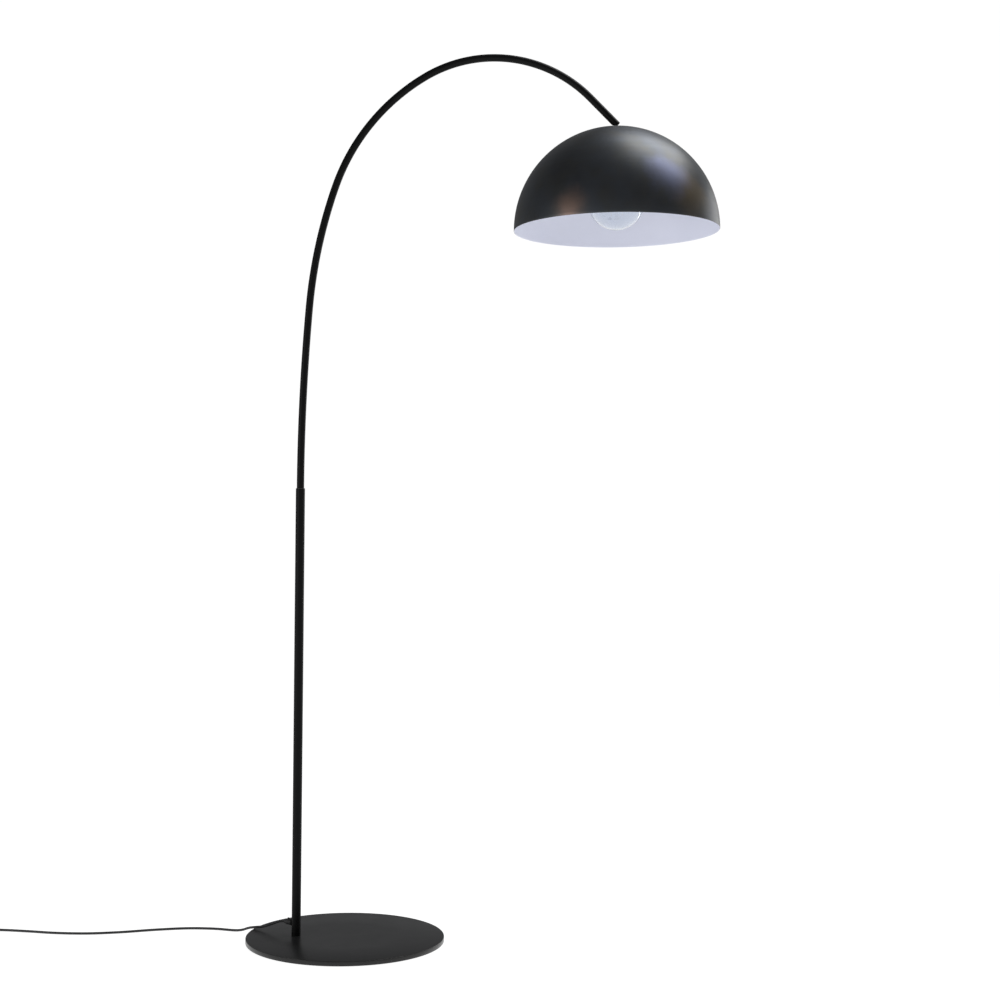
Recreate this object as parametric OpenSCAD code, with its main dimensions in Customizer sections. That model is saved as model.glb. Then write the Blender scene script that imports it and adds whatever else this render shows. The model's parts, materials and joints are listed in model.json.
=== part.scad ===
// Arc floor lamp: a steel disc base, an off-centre pole, a bent swivelling arm
// and a hemispherical shade that tilts on the arm's end. Millimetres, +Z up.
// The origin is the centre of the base's underside, +X is the way the arm reaches.

/* [Base] */
// Diameter of the steel disc
base_d = 430; // [360:1:520]
// Thickness of the steel disc
base_t = 10; // [9:0.5:14]
// Chamfer on the disc's upper edge
base_chamfer = 0.8; // [0.2:0.1:2]
// Diameter of the felt pad under the disc
felt_d = 414; // [340:1:425]
// Thickness of the felt pad
felt_t = 2; // [1:0.5:3]
// Distance of the pole from the disc's centre
pole_offset = 107; // [80:1:150]
// Diameter of the pocket for the bolt head
pocket_d = 26; // [24:0.5:32]
// Steel left above the bolt pocket
pocket_web = 3; // [2.5:0.5:4]
// Diameter of the access hole in the felt
felt_hole_d = 30; // [28:1:40]

/* [Pole] */
// Outside diameter of the pole
pole_d = 20; // [19:0.5:24]
// Wall of the pole
pole_wall = 1.2; // [1:0.1:1.5]
// Length of the pole
pole_len = 972; // [700:1:1200]
// Thread diameter of the pole bolt
bolt_d = 10; // [8:1:12]
// Head diameter of the pole bolt
bolt_head_d = 16; // [14:0.5:20]
// Head height of the pole bolt
bolt_head_h = 5; // [4:0.5:6]
// Hexagon key size of the pole bolt, across flats
bolt_key = 7; // [5:0.5:8]
// Outside diameter of the washer under the bolt head
washer_d = 20; // [18:0.5:23]
// Thickness of that washer
washer_t = 1; // [0.8:0.1:1.5]
// Height of the threaded plug in the pole's foot
foot_plug_h = 18; // [12:1:18]

/* [Arm] */
// Outside diameter of the arm tube
arm_d = 16; // [14:0.5:17]
// Wall of the arm tube
arm_wall = 1.2; // [1:0.1:1.5]
// Length of arm held inside the pole
spigot_len = 80; // [50:1:120]
// Radii of the arm's four bends, from the pole upwards
bend_r = [4950, 1100, 455, 295];
// Angles of the first three bends; the last one completes the arm's end angle
bend_a = [4.54, 14.23, 39.87];
// Angle between the arm's end and straight up
arm_end_a = 135; // [120:1:140]
// Straight length after the last bend
arm_end_len = 84.2; // [60:0.1:120]
// Straight length of arm above the pole
arm_rise = 4; // [3:0.5:20]
// Height of the bush in the pole's mouth
bush_h = 40; // [25:1:60]
// Flange thickness of that bush
bush_flange_t = 1.2; // [0.8:0.1:2]
// Height of the seat that carries the arm inside the pole
seat_h = 12; // [8:1:20]
// Thread diameter of the grub screw that steadies the bush
grub_d = 4; // [3:0.5:5]

/* [Cord grip] */
// Direction of the cord grip round the pole, from the reach direction
grip_a = 150; // [120:1:200]
// Height of the cord grip above the disc
grip_z = 27; // [26:1:60]
// Distance of the grip's tip from the pole's axis
grip_reach = 31; // [28:1:40]
// Body diameter of the cord grip
grip_d = 12; // [11:0.5:14]
// Diameter of the grip's tapered tip
grip_tip_d = 8; // [7:0.5:10]
// Thread diameter of the cord grip
grip_thread_d = 10; // [9.5:0.5:10.5]
// Diameter of the clamping screw in the grip
grip_screw_d = 4; // [3:0.5:5]

/* [Shade and joint] */
// Outside radius of the shade
shade_r = 225; // [190:1:270]
// Sheet thickness of the shade
shade_t = 1.2; // [0.8:0.1:2]
// Lean of the shade's axis at rest
shade_lean = 0.8; // [-3:0.1:3]
// Distance from the tilt pin to the top of the shade
shade_drop = 9.9; // [9.8:0.1:14]
// Distance of the tilt pin from the arm's end
pin_back = 4.7; // [4.5:0.1:6]
// Diameter of the two tilt screws
pin_d = 3; // [2.5:0.1:3.2]
// Diameter of the stem where it hangs in the arm
neck_d = 9; // [8.5:0.1:9]
// Distance between the stem's two ears
ear_gap = 6; // [5.8:0.1:6.2]
// Outside width over the stem's two ears
ear_w = 9.4; // [9:0.1:9.6]
// Diameter of the stem's collar
collar_d = 13; // [12:0.5:14]
// Height of the stem's collar
collar_h = 1; // [0.8:0.1:1]
// Thread diameter of the stem below the collar
stem_thread_d = 10; // [9.5:0.1:10]
// Length of the stem below the shade
stem_tail = 20; // [18:1:26]
// Diameter of the washer under the shade
shade_washer_d = 28; // [20:1:36]
// Nut size across flats
shade_nut_af = 14; // [13:0.5:17]
// Nut height
shade_nut_h = 3; // [2.5:0.5:4]

/* [Lamp holder and bulb] */
// Outside diameter of the lamp holder
holder_d = 40; // [38:1:46]
// Wall of the lamp holder's casing
holder_wall = 1.6; // [1.2:0.1:2]
// Diameter of the globe
globe_d = 125; // [95:1:126]
// Gap between the globe's lowest point and the rim's plane
globe_in = 2; // [0:1:20]
// Overall length of the bulb
bulb_len = 176; // [170:1:178]
// Glass thickness
glass_t = 0.8; // [0.6:0.1:1.2]
// Diameter of the bulb's glass neck
neck_glass_d = 24.6; // [23:0.1:24.6]
// Radius of the hollow curve between globe and neck
neck_curve_r = 30; // [24:1:34]
// Thread diameter of the bulb's cap
cap_d = 26.2; // [26:0.1:26.4]
// Length of the bulb's cap
cap_len = 22; // [20:1:23]
// Number of filaments
filaments = 6; // [4:1:8]
// Length of a filament
filament_len = 36; // [28:1:40]

/* [Cord] */
// Diameter of the mains cord
cord_d = 5.4; // [5:0.1:5.8]
// Mean radius of the coil
coil_r = 30.8; // [28:0.1:34]
// Turns side by side in the coil
coil_wide = 3.6; // [3:0.1:4]
// Layers in the coil
coil_layers = 2; // [2:1:3]
// Width of the tie round the coil
tie_w = 8; // [6:1:12]
// Thickness of the tie
tie_t = 0.8; // [0.6:0.1:1.2]

/* [Foot switch] */
// Length of the switch
switch_len = 70; // [62:1:84]
// Width of the switch
switch_w = 38; // [34:1:46]
// Height of the switch's casing
switch_h = 20; // [19:1:26]
// Height of the switch's lower half
switch_base_h = 8; // [7:0.5:9]
// Wall of the switch's casing
switch_wall = 2; // [1.6:0.1:2.4]
// Diameter of the button
button_d = 26; // [22:1:28]
// Height of the button above the casing
button_up = 4; // [3.5:0.5:6]
// Travel of the button
button_travel = 3; // [2:0.5:3]
// Diameter of the casing screws' heads
case_screw_d = 5; // [4:0.5:6]

/* [Plug] */
// Width of the plug's body
plug_w = 35.3; // [33:0.1:36]
// Thickness of the plug's body
plug_t = 13.7; // [13:0.1:15]
// Length of the plug's body
plug_len = 36; // [33:1:40]
// Diameter of a plug pin
plug_pin_d = 4; // [3.9:0.1:4.1]
// Length of a plug pin
plug_pin_len = 19; // [18:0.5:20]
// Distance between the plug pins
plug_pitch = 18.6; // [17.5:0.1:19]

/* [Fits] */
// Radial clearance where a part turns or slides
run_gap = 0.05; // [0.02:0.01:0.1]
// Radial clearance of a threaded or pressed fit
fit_gap = 0.05; // [0.02:0.01:0.1]
// Gap between parts that pass without touching
free_gap = 0.4; // [0.3:0.05:0.6]

/* [Hidden] */
$fn = 72;
plate_top = felt_t + base_t;
pole_id = pole_d - 2 * pole_wall;
arm_id = arm_d - 2 * arm_wall;
pole_top = plate_top + pole_len;
pocket_top = plate_top - pocket_web;
spigot_foot = pole_top - spigot_len;
arm_start = pole_top + arm_rise;
grip_height = plate_top + grip_z;
lead_bend_r = 11;
lead_r = cord_d / 2;
lead_joint_gap = 0.3;
seam_len = 2;
seam_lap = 0.05;
boss_d = 14;
boss_reach = 12.5;
grip_start = pole_id / 2 + 0.2;
grip_taper = 7;
grip_screw_at = 21;
grip_screw_up = 3;
washer_under = 1.5;
rim_z = -(shade_drop + shade_r);
globe_z = rim_z + globe_in + globe_d / 2;
bulb_tip_z = rim_z + globe_in + bulb_len;
tip_h = 2.5;
insulator_h = 3.4;
cap_top_z = bulb_tip_z - tip_h - insulator_h;
cap_low_z = cap_top_z - cap_len;
socket_top = bulb_tip_z + 3;
holder_low = cap_low_z - 2;
holder_split = socket_top + 6;
// the holder's cap reaches from the stem's end down to the holder
holder_top = -shade_drop - stem_tail;
holder_cap_h = holder_top - holder_split;
cap_bore_h = holder_cap_h * 4 / 9;
cap_neck_d = 15;
// how far the shade's inner face has dropped at the washer's edge
washer_sag = shade_r - shade_t - sqrt(pow(shade_r - shade_t, 2) - pow(shade_washer_d / 2, 2));
washer_top = -shade_drop - shade_t - washer_sag;
nut_top = washer_top - washer_under;
// the arm's path: each bend starts where the one before it ends
bend_last = arm_end_a - bend_a[0] - bend_a[1] - bend_a[2];
bends = [for (i = [0:3]) [bend_r[i], i < 3 ? bend_a[i] : bend_last]];
function turned(v, a) = [v[0] * cos(a) + v[1] * sin(a), v[1] * cos(a) - v[0] * sin(a)];
function bend_step(b) = [b[0] * (1 - cos(b[1])), b[0] * sin(b[1])];
function path_end(i = 0, p = [0, 0], a = 0) = i == len(bends) ? [p, a]
    : path_end(i + 1, p + turned(bend_step(bends[i]), a), a + bends[i][1]);
function along(d) = path_end()[0] + d * turned([0, 1], path_end()[1]);
arm_tip = along(arm_end_len);
tilt_pin = along(arm_end_len - pin_back);
pin_pos = [tilt_pin[0] - pole_offset, 0, tilt_pin[1] + arm_start];
notch_len = 8;
notch_w = 11;
// the free cord: hand-placed points on its centre line
grip_tip = [-pole_offset + grip_reach * cos(grip_a), grip_reach * sin(grip_a), grip_height];
cord_points = [grip_tip, [-146, 22.2, 37.2], [-164, 32, 29], [-185, 44, 20], [-203, 54, 16],
    [-219, 62, 12.2], [-236, 70, 5.6], [-256, 78, 2.8], [-300, 90, 2.8], [-360, 92, 2.8],
    [-430, 76, 2.8], [-500, 52, 2.8], [-570, 38, 2.8], [-640, 40, 2.8], [-700, 52, 2.8],
    [-745, 60, 2.8], [-775, 60, 4], [-800, 60, 7]];
link_points = [[-870, 60, 7], [-886, 60, 5], [-902, 56, 3.2], [-916, 44, 2.8], [-922.4, 26, 2.8],
    [-923, 12, 2.8]];
tail_points = [[-885, -27.3, 8.2], [-868, -29, 7.6], [-853.5, -36.5, 7.1], [-846, -49, 6.9],
    [-844, -61.8, 6.85]];
coil_pos = [-885, 10, 0];
switch_pos = [-800, 60, 0];
plug_pos = [-844, -62, 0];
cord_entry_z = 7;
cord_sides = 10;
// inside the switch
cover_chamfer = 2;
cover_inset = 1.2;
case_screw_head_h = 1.5;
case_screw_shank_d = 2.4;
case_screw_x = 10;
case_screw_y = 8.5;
case_screw_up = 0.3;
base_post_d = 7.6;
cover_post_d = 6;
screw_end_z = switch_h - switch_wall - 1.5;
flange_h = 2;
flange_w = 1.5;
button_wall = 2;
flange_low = switch_h - switch_wall - free_gap - flange_h;
button_ceiling = switch_h + button_up - 2.8;
contact_block = [18, 18];
spring_r = 6;
spring_wire_r = 0.5;
spring_turns = 4;
spring_steps = 12;
spring_foot = 12.2;
// the plug's shape
plug_tail_len = 8;
plug_tail_d = 9;
plug_shoulder = 14;
plug_corner = 2;
pin_tip_len = 1;
pin_tip_taper = 1.6;

// ---- shapes used by several sub-parts ----

module at_pole() { translate([-pole_offset, 0, 0]) children(); }

module tube(d_out, d_in, h) {
    difference() {
        cylinder(d = d_out, h = h);
        translate([0, 0, -1]) cylinder(d = d_in, h = h + 2);
    }
}

// one bend of a solid bar, from the origin's +Z towards +X
module bend(r, a, bar_r) {
    translate([r, 0, 0]) rotate([90, 0, 0]) rotate([0, 0, 180 - a])
        rotate_extrude(angle = a) translate([r, 0]) circle(r = bar_r);
}

// a short piece a hair thicker than the bar, which makes the two stretches that meet in it one
module seam(bar_r) { translate([0, 0, -seam_len / 2]) cylinder(r = bar_r + seam_lap, h = seam_len); }

// a solid bar along the arm's path, ending end_back before the arm's tip
module arm_bar(bar_r, end_back, i = 0) {
    seam(bar_r);
    if (i < len(bends)) {
        step = bend_step(bends[i]);
        bend(bends[i][0], bends[i][1], bar_r);
        translate([step[0], 0, step[1]]) rotate([0, bends[i][1], 0]) arm_bar(bar_r, end_back, i + 1);
    } else {
        cylinder(r = bar_r, h = arm_end_len - end_back);
    }
}

// the whole bar, with the straight stretch inside the pole
module arm_rod(bar_r, foot_more, end_back) {
    at_pole() translate([0, 0, spigot_foot - foot_more])
        cylinder(r = bar_r, h = spigot_len + arm_rise + foot_more);
    at_pole() translate([0, 0, arm_start]) arm_bar(bar_r, end_back);
}

// the head's frame: origin on the tilt screws' axis, +Z up along the shade's axis
module in_head() { translate(pin_pos) rotate([0, -shade_lean, 0]) children(); }

// the arm's end frame: origin at the tilt screws' axis, +Z along the arm towards its tip
module at_arm_end() { translate(pin_pos) rotate([0, arm_end_a, 0]) children(); }

// the cord grip's frame: +Z outwards from the pole's axis
module at_grip() {
    translate([-pole_offset, 0, grip_height]) rotate([0, 0, grip_a]) rotate([0, 90, 0]) children();
}

// a smooth curve through points, and a round tube swept along it
function pick(p, i) = p[max(0, min(len(p) - 1, i))];
function curve_at(a, b, c, d, t) = 0.5 * (2 * b + (c - a) * t + (2 * a - 5 * b + 4 * c - d) * t * t
    + (3 * b - a - 3 * c + d) * t * t * t);
function steps(a, b, pitch) = max(1, ceil(norm(b - a) / pitch));
function smooth(p, pitch) = concat([for (i = [0:len(p) - 2]) let (n = steps(p[i], p[i + 1], pitch))
    for (k = [0:n - 1]) curve_at(pick(p, i - 1), p[i], p[i + 1], pick(p, i + 2), k / n)],
    [p[len(p) - 1]]);
function unit(v) = v / norm(v);
function ring_at(p, t, s, r, n) = let (u = cross(s, t))
    [for (k = [0:n - 1]) p + r * (cos(360 * k / n) * s + sin(360 * k / n) * u)];
function heading(path, i) = unit(pick(path, i + 1) - pick(path, i - 1));
function level_side(t) = unit(cross(t, [0, 0, 1]));

// side is the fixed sideways direction of a route that climbs; a level route needs none
module swept(path, r, n, side = undef) {
    last = len(path) - 1;
    rings = [for (i = [0:last]) let (t = heading(path, i))
        ring_at(path[i], t, side == undef ? level_side(t) : side, r, n)];
    corners = [for (ring = rings) for (p = ring) p];
    sides = [for (i = [0:last - 1]) for (k = [0:n - 1]) let (m = (k + 1) % n)
        [i * n + k, i * n + m, (i + 1) * n + m, (i + 1) * n + k]];
    start = [[for (k = [0:n - 1]) n - 1 - k]];
    finish = [[for (k = [0:n - 1]) last * n + k]];
    polyhedron(points = corners, faces = concat(start, sides, finish), convexity = 8);
}

// the switch's plan: a box with round ends, from the cord's entry along -X
module switch_plan(inset) {
    r = switch_w / 2 - inset;
    for (x = [switch_w / 2, switch_len - switch_w / 2]) translate([-x, 0]) circle(r = r);
    translate([switch_w / 2 - switch_len, -r]) square([switch_len - switch_w, 2 * r]);
}

module at_switch() { translate(switch_pos) children(); }
module at_button() { translate(switch_pos + [-switch_len / 2, 0, 0]) children(); }

// ---- base and pole ----

module base_felt() {
    color("dimgray") difference() {
        cylinder(d = felt_d, h = felt_t);
        at_pole() translate([0, 0, -1]) cylinder(d = felt_hole_d, h = felt_t + 2);
    }
}

module base_plate() {
    color([0.16, 0.16, 0.165]) difference() {
        translate([0, 0, felt_t]) {
            cylinder(d = base_d, h = base_t - base_chamfer);
            translate([0, 0, base_t - base_chamfer])
                cylinder(d1 = base_d, d2 = base_d - 2 * base_chamfer, h = base_chamfer);
        }
        at_pole() translate([0, 0, felt_t - 1]) cylinder(d = bolt_d + 2 * free_gap, h = base_t + 2);
        at_pole() translate([0, 0, felt_t - 1]) cylinder(d = pocket_d, h = pocket_top - felt_t + 1);
    }
}

module pole_bolt() {
    head_z = pocket_top - washer_t - bolt_head_h;
    color("silver") at_pole() difference() {
        translate([0, 0, head_z]) {
            cylinder(d = bolt_head_d, h = bolt_head_h);
            cylinder(d = bolt_d, h = plate_top + foot_plug_h - 1 - head_z);
        }
        translate([0, 0, head_z - 1]) cylinder(d = bolt_key / cos(30), h = bolt_head_h / 2 + 1, $fn = 6);
    }
}

module pole_washer() {
    color("silver") at_pole() translate([0, 0, pocket_top - washer_t])
        tube(washer_d, bolt_d + 2 * free_gap, washer_t);
}

module pole_foot_plug() {
    color("gray") at_pole() translate([0, 0, plate_top])
        tube(pole_id - 2 * fit_gap, bolt_d + 2 * fit_gap, foot_plug_h);
}

module lower_pole() {
    color([0.08, 0.08, 0.085]) difference() {
        union() {
            at_pole() translate([0, 0, plate_top]) cylinder(d = pole_d, h = pole_len);
            at_grip() cylinder(d = boss_d, h = boss_reach);
        }
        at_pole() translate([0, 0, plate_top - 1]) cylinder(d = pole_id, h = pole_len + 2);
        at_grip() cylinder(d = grip_thread_d + 2 * fit_gap, h = boss_reach + 1);
        translate([-pole_offset, 0, pole_top - bush_h / 2]) rotate([-90, 0, 0])
            cylinder(d = grub_d + 2 * fit_gap, h = pole_d);
    }
}

module cord_grip() {
    taper_z = grip_reach - grip_taper;
    color([0.05, 0.05, 0.05]) at_grip() difference() {
        union() {
            translate([0, 0, grip_start]) cylinder(d = grip_thread_d, h = boss_reach - grip_start);
            translate([0, 0, boss_reach]) cylinder(d = grip_d, h = taper_z - boss_reach);
            translate([0, 0, taper_z]) cylinder(d1 = grip_d, d2 = grip_tip_d, h = grip_taper);
        }
        cylinder(d = cord_d + 4 * free_gap, h = boss_reach);
        cylinder(d = cord_d + 2 * fit_gap, h = grip_reach + 1);
        translate([0, 0, grip_screw_at]) rotate([0, -90, 0])
            cylinder(d = grip_screw_d + 2 * fit_gap, h = grip_d);
    }
}

module cord_grip_screw() {
    top = grip_d / 2 + grip_screw_up;
    low = lead_r + fit_gap;
    color([0.05, 0.05, 0.05]) at_grip() translate([0, 0, grip_screw_at]) rotate([0, -90, 0]) difference() {
        translate([0, 0, low]) cylinder(d = grip_screw_d, h = top - low);
        translate([-grip_screw_d, -0.5, top - 1.2]) cube([2 * grip_screw_d, 1, 2]);
    }
}

module pole_bush() {
    bore = arm_d + 2 * run_gap;
    grub = grub_d + 2 * fit_gap;
    color([0.04, 0.04, 0.04]) difference() {
        at_pole() {
            translate([0, 0, pole_top - bush_h]) tube(pole_id - 2 * fit_gap, bore, bush_h);
            translate([0, 0, pole_top]) tube(pole_d - 2 * fit_gap, bore, bush_flange_t);
        }
        translate([-pole_offset, 0, pole_top - bush_h / 2]) rotate([-90, 0, 0])
            cylinder(d = grub, h = pole_d);
    }
}

module arm_seat() {
    lip = 4;
    color("gray") at_pole() translate([0, 0, spigot_foot - seat_h]) difference() {
        cylinder(d = pole_id - 2 * fit_gap, h = seat_h + lip);
        translate([0, 0, -1]) cylinder(d = cord_d + 4 * free_gap, h = seat_h + 2);
        translate([0, 0, seat_h]) cylinder(d = arm_d + 2 * run_gap, h = lip + 1);
    }
}

module arm_grub_screw() {
    tip = arm_d / 2 + run_gap;
    color("dimgray") translate([-pole_offset, tip, pole_top - bush_h / 2]) rotate([-90, 0, 0])
        difference() {
            cylinder(d = grub_d, h = pole_d / 2 + 0.4 - tip);
            translate([0, 0, 0.8]) cylinder(d = 2 / cos(30), h = 3, $fn = 6);
        }
}

module pole_lead() {
    top = spigot_foot - lead_joint_gap - grip_height;
    bend_steps = 8;
    end_gap = 0.9;
    elbow = [for (i = [0:bend_steps]) let (a = 90 * i / bend_steps)
        lead_bend_r * [1 - sin(a), 1 - cos(a)]];
    route = concat([[grip_reach - end_gap, 0]], elbow, [[0, top]]);
    color("black") translate([-pole_offset, 0, grip_height]) rotate([0, 0, grip_a])
        swept([for (p = route) [p[0], 0, p[1]]], lead_r, cord_sides, [0, 1, 0]);
}

// ---- arm ----

module arm_tube() {
    color([0.07, 0.07, 0.075]) difference() {
        arm_rod(arm_d / 2, 0, 0);
        arm_rod(arm_id / 2, 1, -1);
        at_arm_end() {
            rotate([90, 0, 0]) cylinder(d = pin_d + 2 * fit_gap, h = 2 * arm_d, center = true);
            translate([0, -notch_w / 2, pin_back - notch_len]) cube([arm_d, notch_w, notch_len + 1]);
        }
    }
}

module arm_lead() {
    color("black") arm_rod(lead_r, 0, pin_back + lead_r + lead_joint_gap);
}

module tilt_screws() {
    inner = ear_gap / 2 + fit_gap;
    color([0.06, 0.06, 0.06]) translate(pin_pos) for (side = [-1, 1]) rotate([side * 90, 0, 0]) difference() {
        translate([0, 0, inner]) cylinder(d = pin_d, h = arm_d / 2 - inner);
        translate([-pin_d, -0.35, arm_d / 2 - 0.8]) cube([2 * pin_d, 0.7, 2]);
    }
}

// ---- head: stem, shade, holder and bulb ----

module shade_stem() {
    neck_top = -ear_gap / 2 - free_gap;
    color([0.1, 0.1, 0.1]) in_head() difference() {
        union() {
            // the ears' corners follow the arm's inside
            intersection() {
                rotate([90, 0, 0]) cylinder(d = neck_d - 0.2, h = ear_w, center = true);
                sphere(r = arm_id / 2 - 2 * run_gap);
            }
            intersection() {
                translate([0, 0, -shade_drop]) cylinder(d = neck_d, h = shade_drop);
                translate([-neck_d, -ear_w / 2, -shade_drop]) cube([2 * neck_d, ear_w, shade_drop]);
            }
            translate([0, 0, -shade_drop]) cylinder(d = collar_d, h = collar_h);
            translate([0, 0, -shade_drop - stem_tail]) cylinder(d = stem_thread_d, h = stem_tail);
        }
        translate([-neck_d, -ear_gap / 2, neck_top]) cube([2 * neck_d, ear_gap, neck_d]);
        translate([0, 0, -shade_drop - stem_tail - 1])
            cylinder(d = cord_d + 2 * fit_gap, h = shade_drop + stem_tail + 1);
        rotate([90, 0, 0]) cylinder(d = pin_d + 2 * run_gap, h = 2 * ear_w, center = true);
    }
}

module shade() {
    hole_r = stem_thread_d / 2 + fit_gap;
    color([0.25, 0.25, 0.26]) in_head() translate([0, 0, rim_z]) rotate_extrude($fn = 180) intersection() {
        difference() {
            circle(r = shade_r);
            circle(r = shade_r - shade_t);
        }
        translate([hole_r, 0]) square([shade_r, shade_r + 1]);
    }
}

module shade_washer() {
    color("silver") in_head() translate([0, 0, nut_top])
        tube(shade_washer_d, stem_thread_d + 2 * fit_gap, washer_under);
}

module shade_nut() {
    color("silver") in_head() translate([0, 0, nut_top - shade_nut_h]) difference() {
        cylinder(d = shade_nut_af / cos(30), h = shade_nut_h, $fn = 6);
        translate([0, 0, -1]) cylinder(d = stem_thread_d + 2 * fit_gap, h = shade_nut_h + 2);
    }
}

module holder_cap() {
    r = holder_d / 2;
    bore = stem_thread_d / 2 + fit_gap;
    neck = cap_neck_d / 2;
    step = holder_cap_h / 18;
    color([0.9, 0.9, 0.88]) in_head() rotate_extrude() polygon([[bore, holder_top], [neck, holder_top],
        [neck, holder_top - 6 * step], [r - 4, holder_split + 7 * step], [r, holder_split + 3 * step],
        [r, holder_split], [r - holder_wall, holder_split], [r - holder_wall, holder_split + 2.4 * step],
        [r - 4 - holder_wall, holder_split + 5 * step], [bore, holder_top - cap_bore_h]]);
}

module holder_casing() {
    color([0.9, 0.9, 0.88]) in_head() translate([0, 0, holder_low])
        tube(holder_d, holder_d - 2 * holder_wall, holder_split - holder_low);
}

module holder_core() {
    shell_r = cap_d / 2 + free_gap + 0.6;
    color([0.85, 0.83, 0.78]) in_head() difference() {
        translate([0, 0, holder_low + 3])
            cylinder(r = holder_d / 2 - holder_wall - fit_gap, h = holder_split - holder_low - 4);
        translate([0, 0, holder_low]) cylinder(r = shell_r + fit_gap, h = socket_top - holder_low);
    }
}

module holder_thread() {
    shell_r = cap_d / 2 + free_gap;
    color("goldenrod") in_head() translate([0, 0, holder_low + 4])
        tube(2 * shell_r + 1.2, 2 * shell_r, socket_top - 1 - holder_low - 4);
}

module holder_contact() {
    color("goldenrod") in_head() translate([-6, -2.5, bulb_tip_z + 0.1])
        cube([12, 5, socket_top - bulb_tip_z - 0.1]);
}

module head_lead() {
    core_z = holder_split - 1;
    // the two wires start inside the lead, so they are one piece with it
    wire_in = 1;
    color("black") in_head() {
        sphere(r = lead_r);
        translate([0, 0, holder_top - cap_bore_h]) cylinder(r = lead_r, h = cap_bore_h - holder_top);
        for (side = [-1, 1]) translate([side * lead_r / 2, 0, core_z])
            cylinder(d = 1.8, h = holder_top - cap_bore_h - core_z + wire_in);
    }
}

module bulb_outline(w) {
    r = globe_d / 2;
    neck_r = neck_glass_d / 2;
    cx = neck_r + neck_curve_r;
    cy = sqrt(pow(r + neck_curve_r, 2) - cx * cx);
    k = r / (r + neck_curve_r);
    intersection() {
        translate([0, -r]) square([r, 4 * r]);
        circle(r = r - w);
    }
    difference() {
        polygon([[0, 0], [cx * k, cy * k], [cx, cy], [0, cy]]);
        translate([cx, cy]) circle(r = neck_curve_r + w);
    }
    translate([0, cy - 0.01]) square([neck_r - w, cap_low_z - globe_z + 8 + (w > 0 ? 1 : 0) - cy]);
}

module bulb_globe() {
    color([0.95, 0.95, 0.95, 0.4]) in_head() translate([0, 0, globe_z]) rotate_extrude($fn = 120) difference() {
        bulb_outline(0);
        bulb_outline(glass_t);
    }
}

module bulb_cap() {
    color("silver") in_head() translate([0, 0, cap_low_z]) difference() {
        cylinder(d = cap_d, h = cap_len);
        translate([0, 0, -1]) cylinder(d = cap_d - 1, h = cap_len - 1);
    }
}

module bulb_insulator() {
    color([0.05, 0.05, 0.06]) in_head() translate([0, 0, cap_top_z])
        cylinder(d1 = cap_d - 4, d2 = 12, h = insulator_h);
}

module bulb_contact() {
    color("silver") in_head() translate([0, 0, bulb_tip_z - tip_h]) cylinder(d1 = 11, d2 = 8, h = tip_h);
}

module bulb_mount() {
    top = cap_low_z - globe_z + 6;
    low = -2;
    color([0.9, 0.9, 0.9, 0.5]) in_head() translate([0, 0, globe_z]) {
        translate([0, 0, top - 12]) cylinder(d1 = 8, d2 = neck_glass_d - 2 * glass_t - 1, h = 12);
        translate([0, 0, low]) cylinder(d = 8, h = top - 12 - low);
    }
}

module bulb_filaments() {
    color("gold") in_head() translate([0, 0, globe_z]) for (i = [0:filaments - 1])
        rotate([0, 0, 360 * i / filaments]) translate([13, 0, -4]) rotate([0, 12, 0])
            cylinder(d = 1.8, h = filament_len);
}

// ---- cord, foot switch and plug ----

module cord_to_switch() { color("black") swept(smooth(cord_points, 14), lead_r, cord_sides); }
module cord_to_coil() { color("black") swept(smooth(link_points, 12), lead_r, cord_sides); }
module cord_to_plug() { color("black") swept(smooth(tail_points, 14), lead_r, cord_sides); }

module cord_coil() {
    w = coil_wide * cord_d;
    color([0.1, 0.1, 0.1]) translate(coil_pos) rotate_extrude()
        translate([coil_r - w / 2, 0]) square([w, coil_layers * cord_d]);
}

module coil_tie() {
    w = coil_wide * cord_d + 2 * fit_gap;
    h = coil_layers * cord_d + fit_gap;
    color([0.15, 0.15, 0.15]) translate(coil_pos) rotate([0, 0, 45]) translate([coil_r, 0, 0])
        rotate([90, 0, 0]) linear_extrude(tie_w, center = true) difference() {
            translate([-w / 2 - tie_t, 0]) square([w + 2 * tie_t, h + tie_t]);
            translate([-w / 2, tie_t / 2]) square([w, h - tie_t / 2]);
        }
}

module cord_way() {
    translate([1, 0, cord_entry_z]) rotate([0, -90, 0]) cylinder(r = lead_r + fit_gap, h = switch_len + 2);
}

// children at each of the casing's four screws
module at_case_screws() {
    for (x = [case_screw_x, switch_len - case_screw_x]) for (y = [-case_screw_y, case_screw_y])
        translate([-x, y, 0]) children();
}

module switch_base() {
    head_top = case_screw_up + case_screw_head_h + fit_gap;
    color([0.06, 0.06, 0.06]) at_switch() difference() {
        union() {
            difference() {
                linear_extrude(switch_base_h) switch_plan(0);
                translate([0, 0, switch_wall]) linear_extrude(switch_base_h) switch_plan(switch_wall);
                cord_way();
            }
            at_case_screws() cylinder(d = base_post_d, h = switch_base_h);
        }
        at_case_screws() {
            translate([0, 0, -1]) cylinder(d = case_screw_shank_d + 2 * free_gap, h = switch_h);
            translate([0, 0, -1]) cylinder(d = case_screw_d + free_gap, h = head_top + 1);
        }
    }
}

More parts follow.
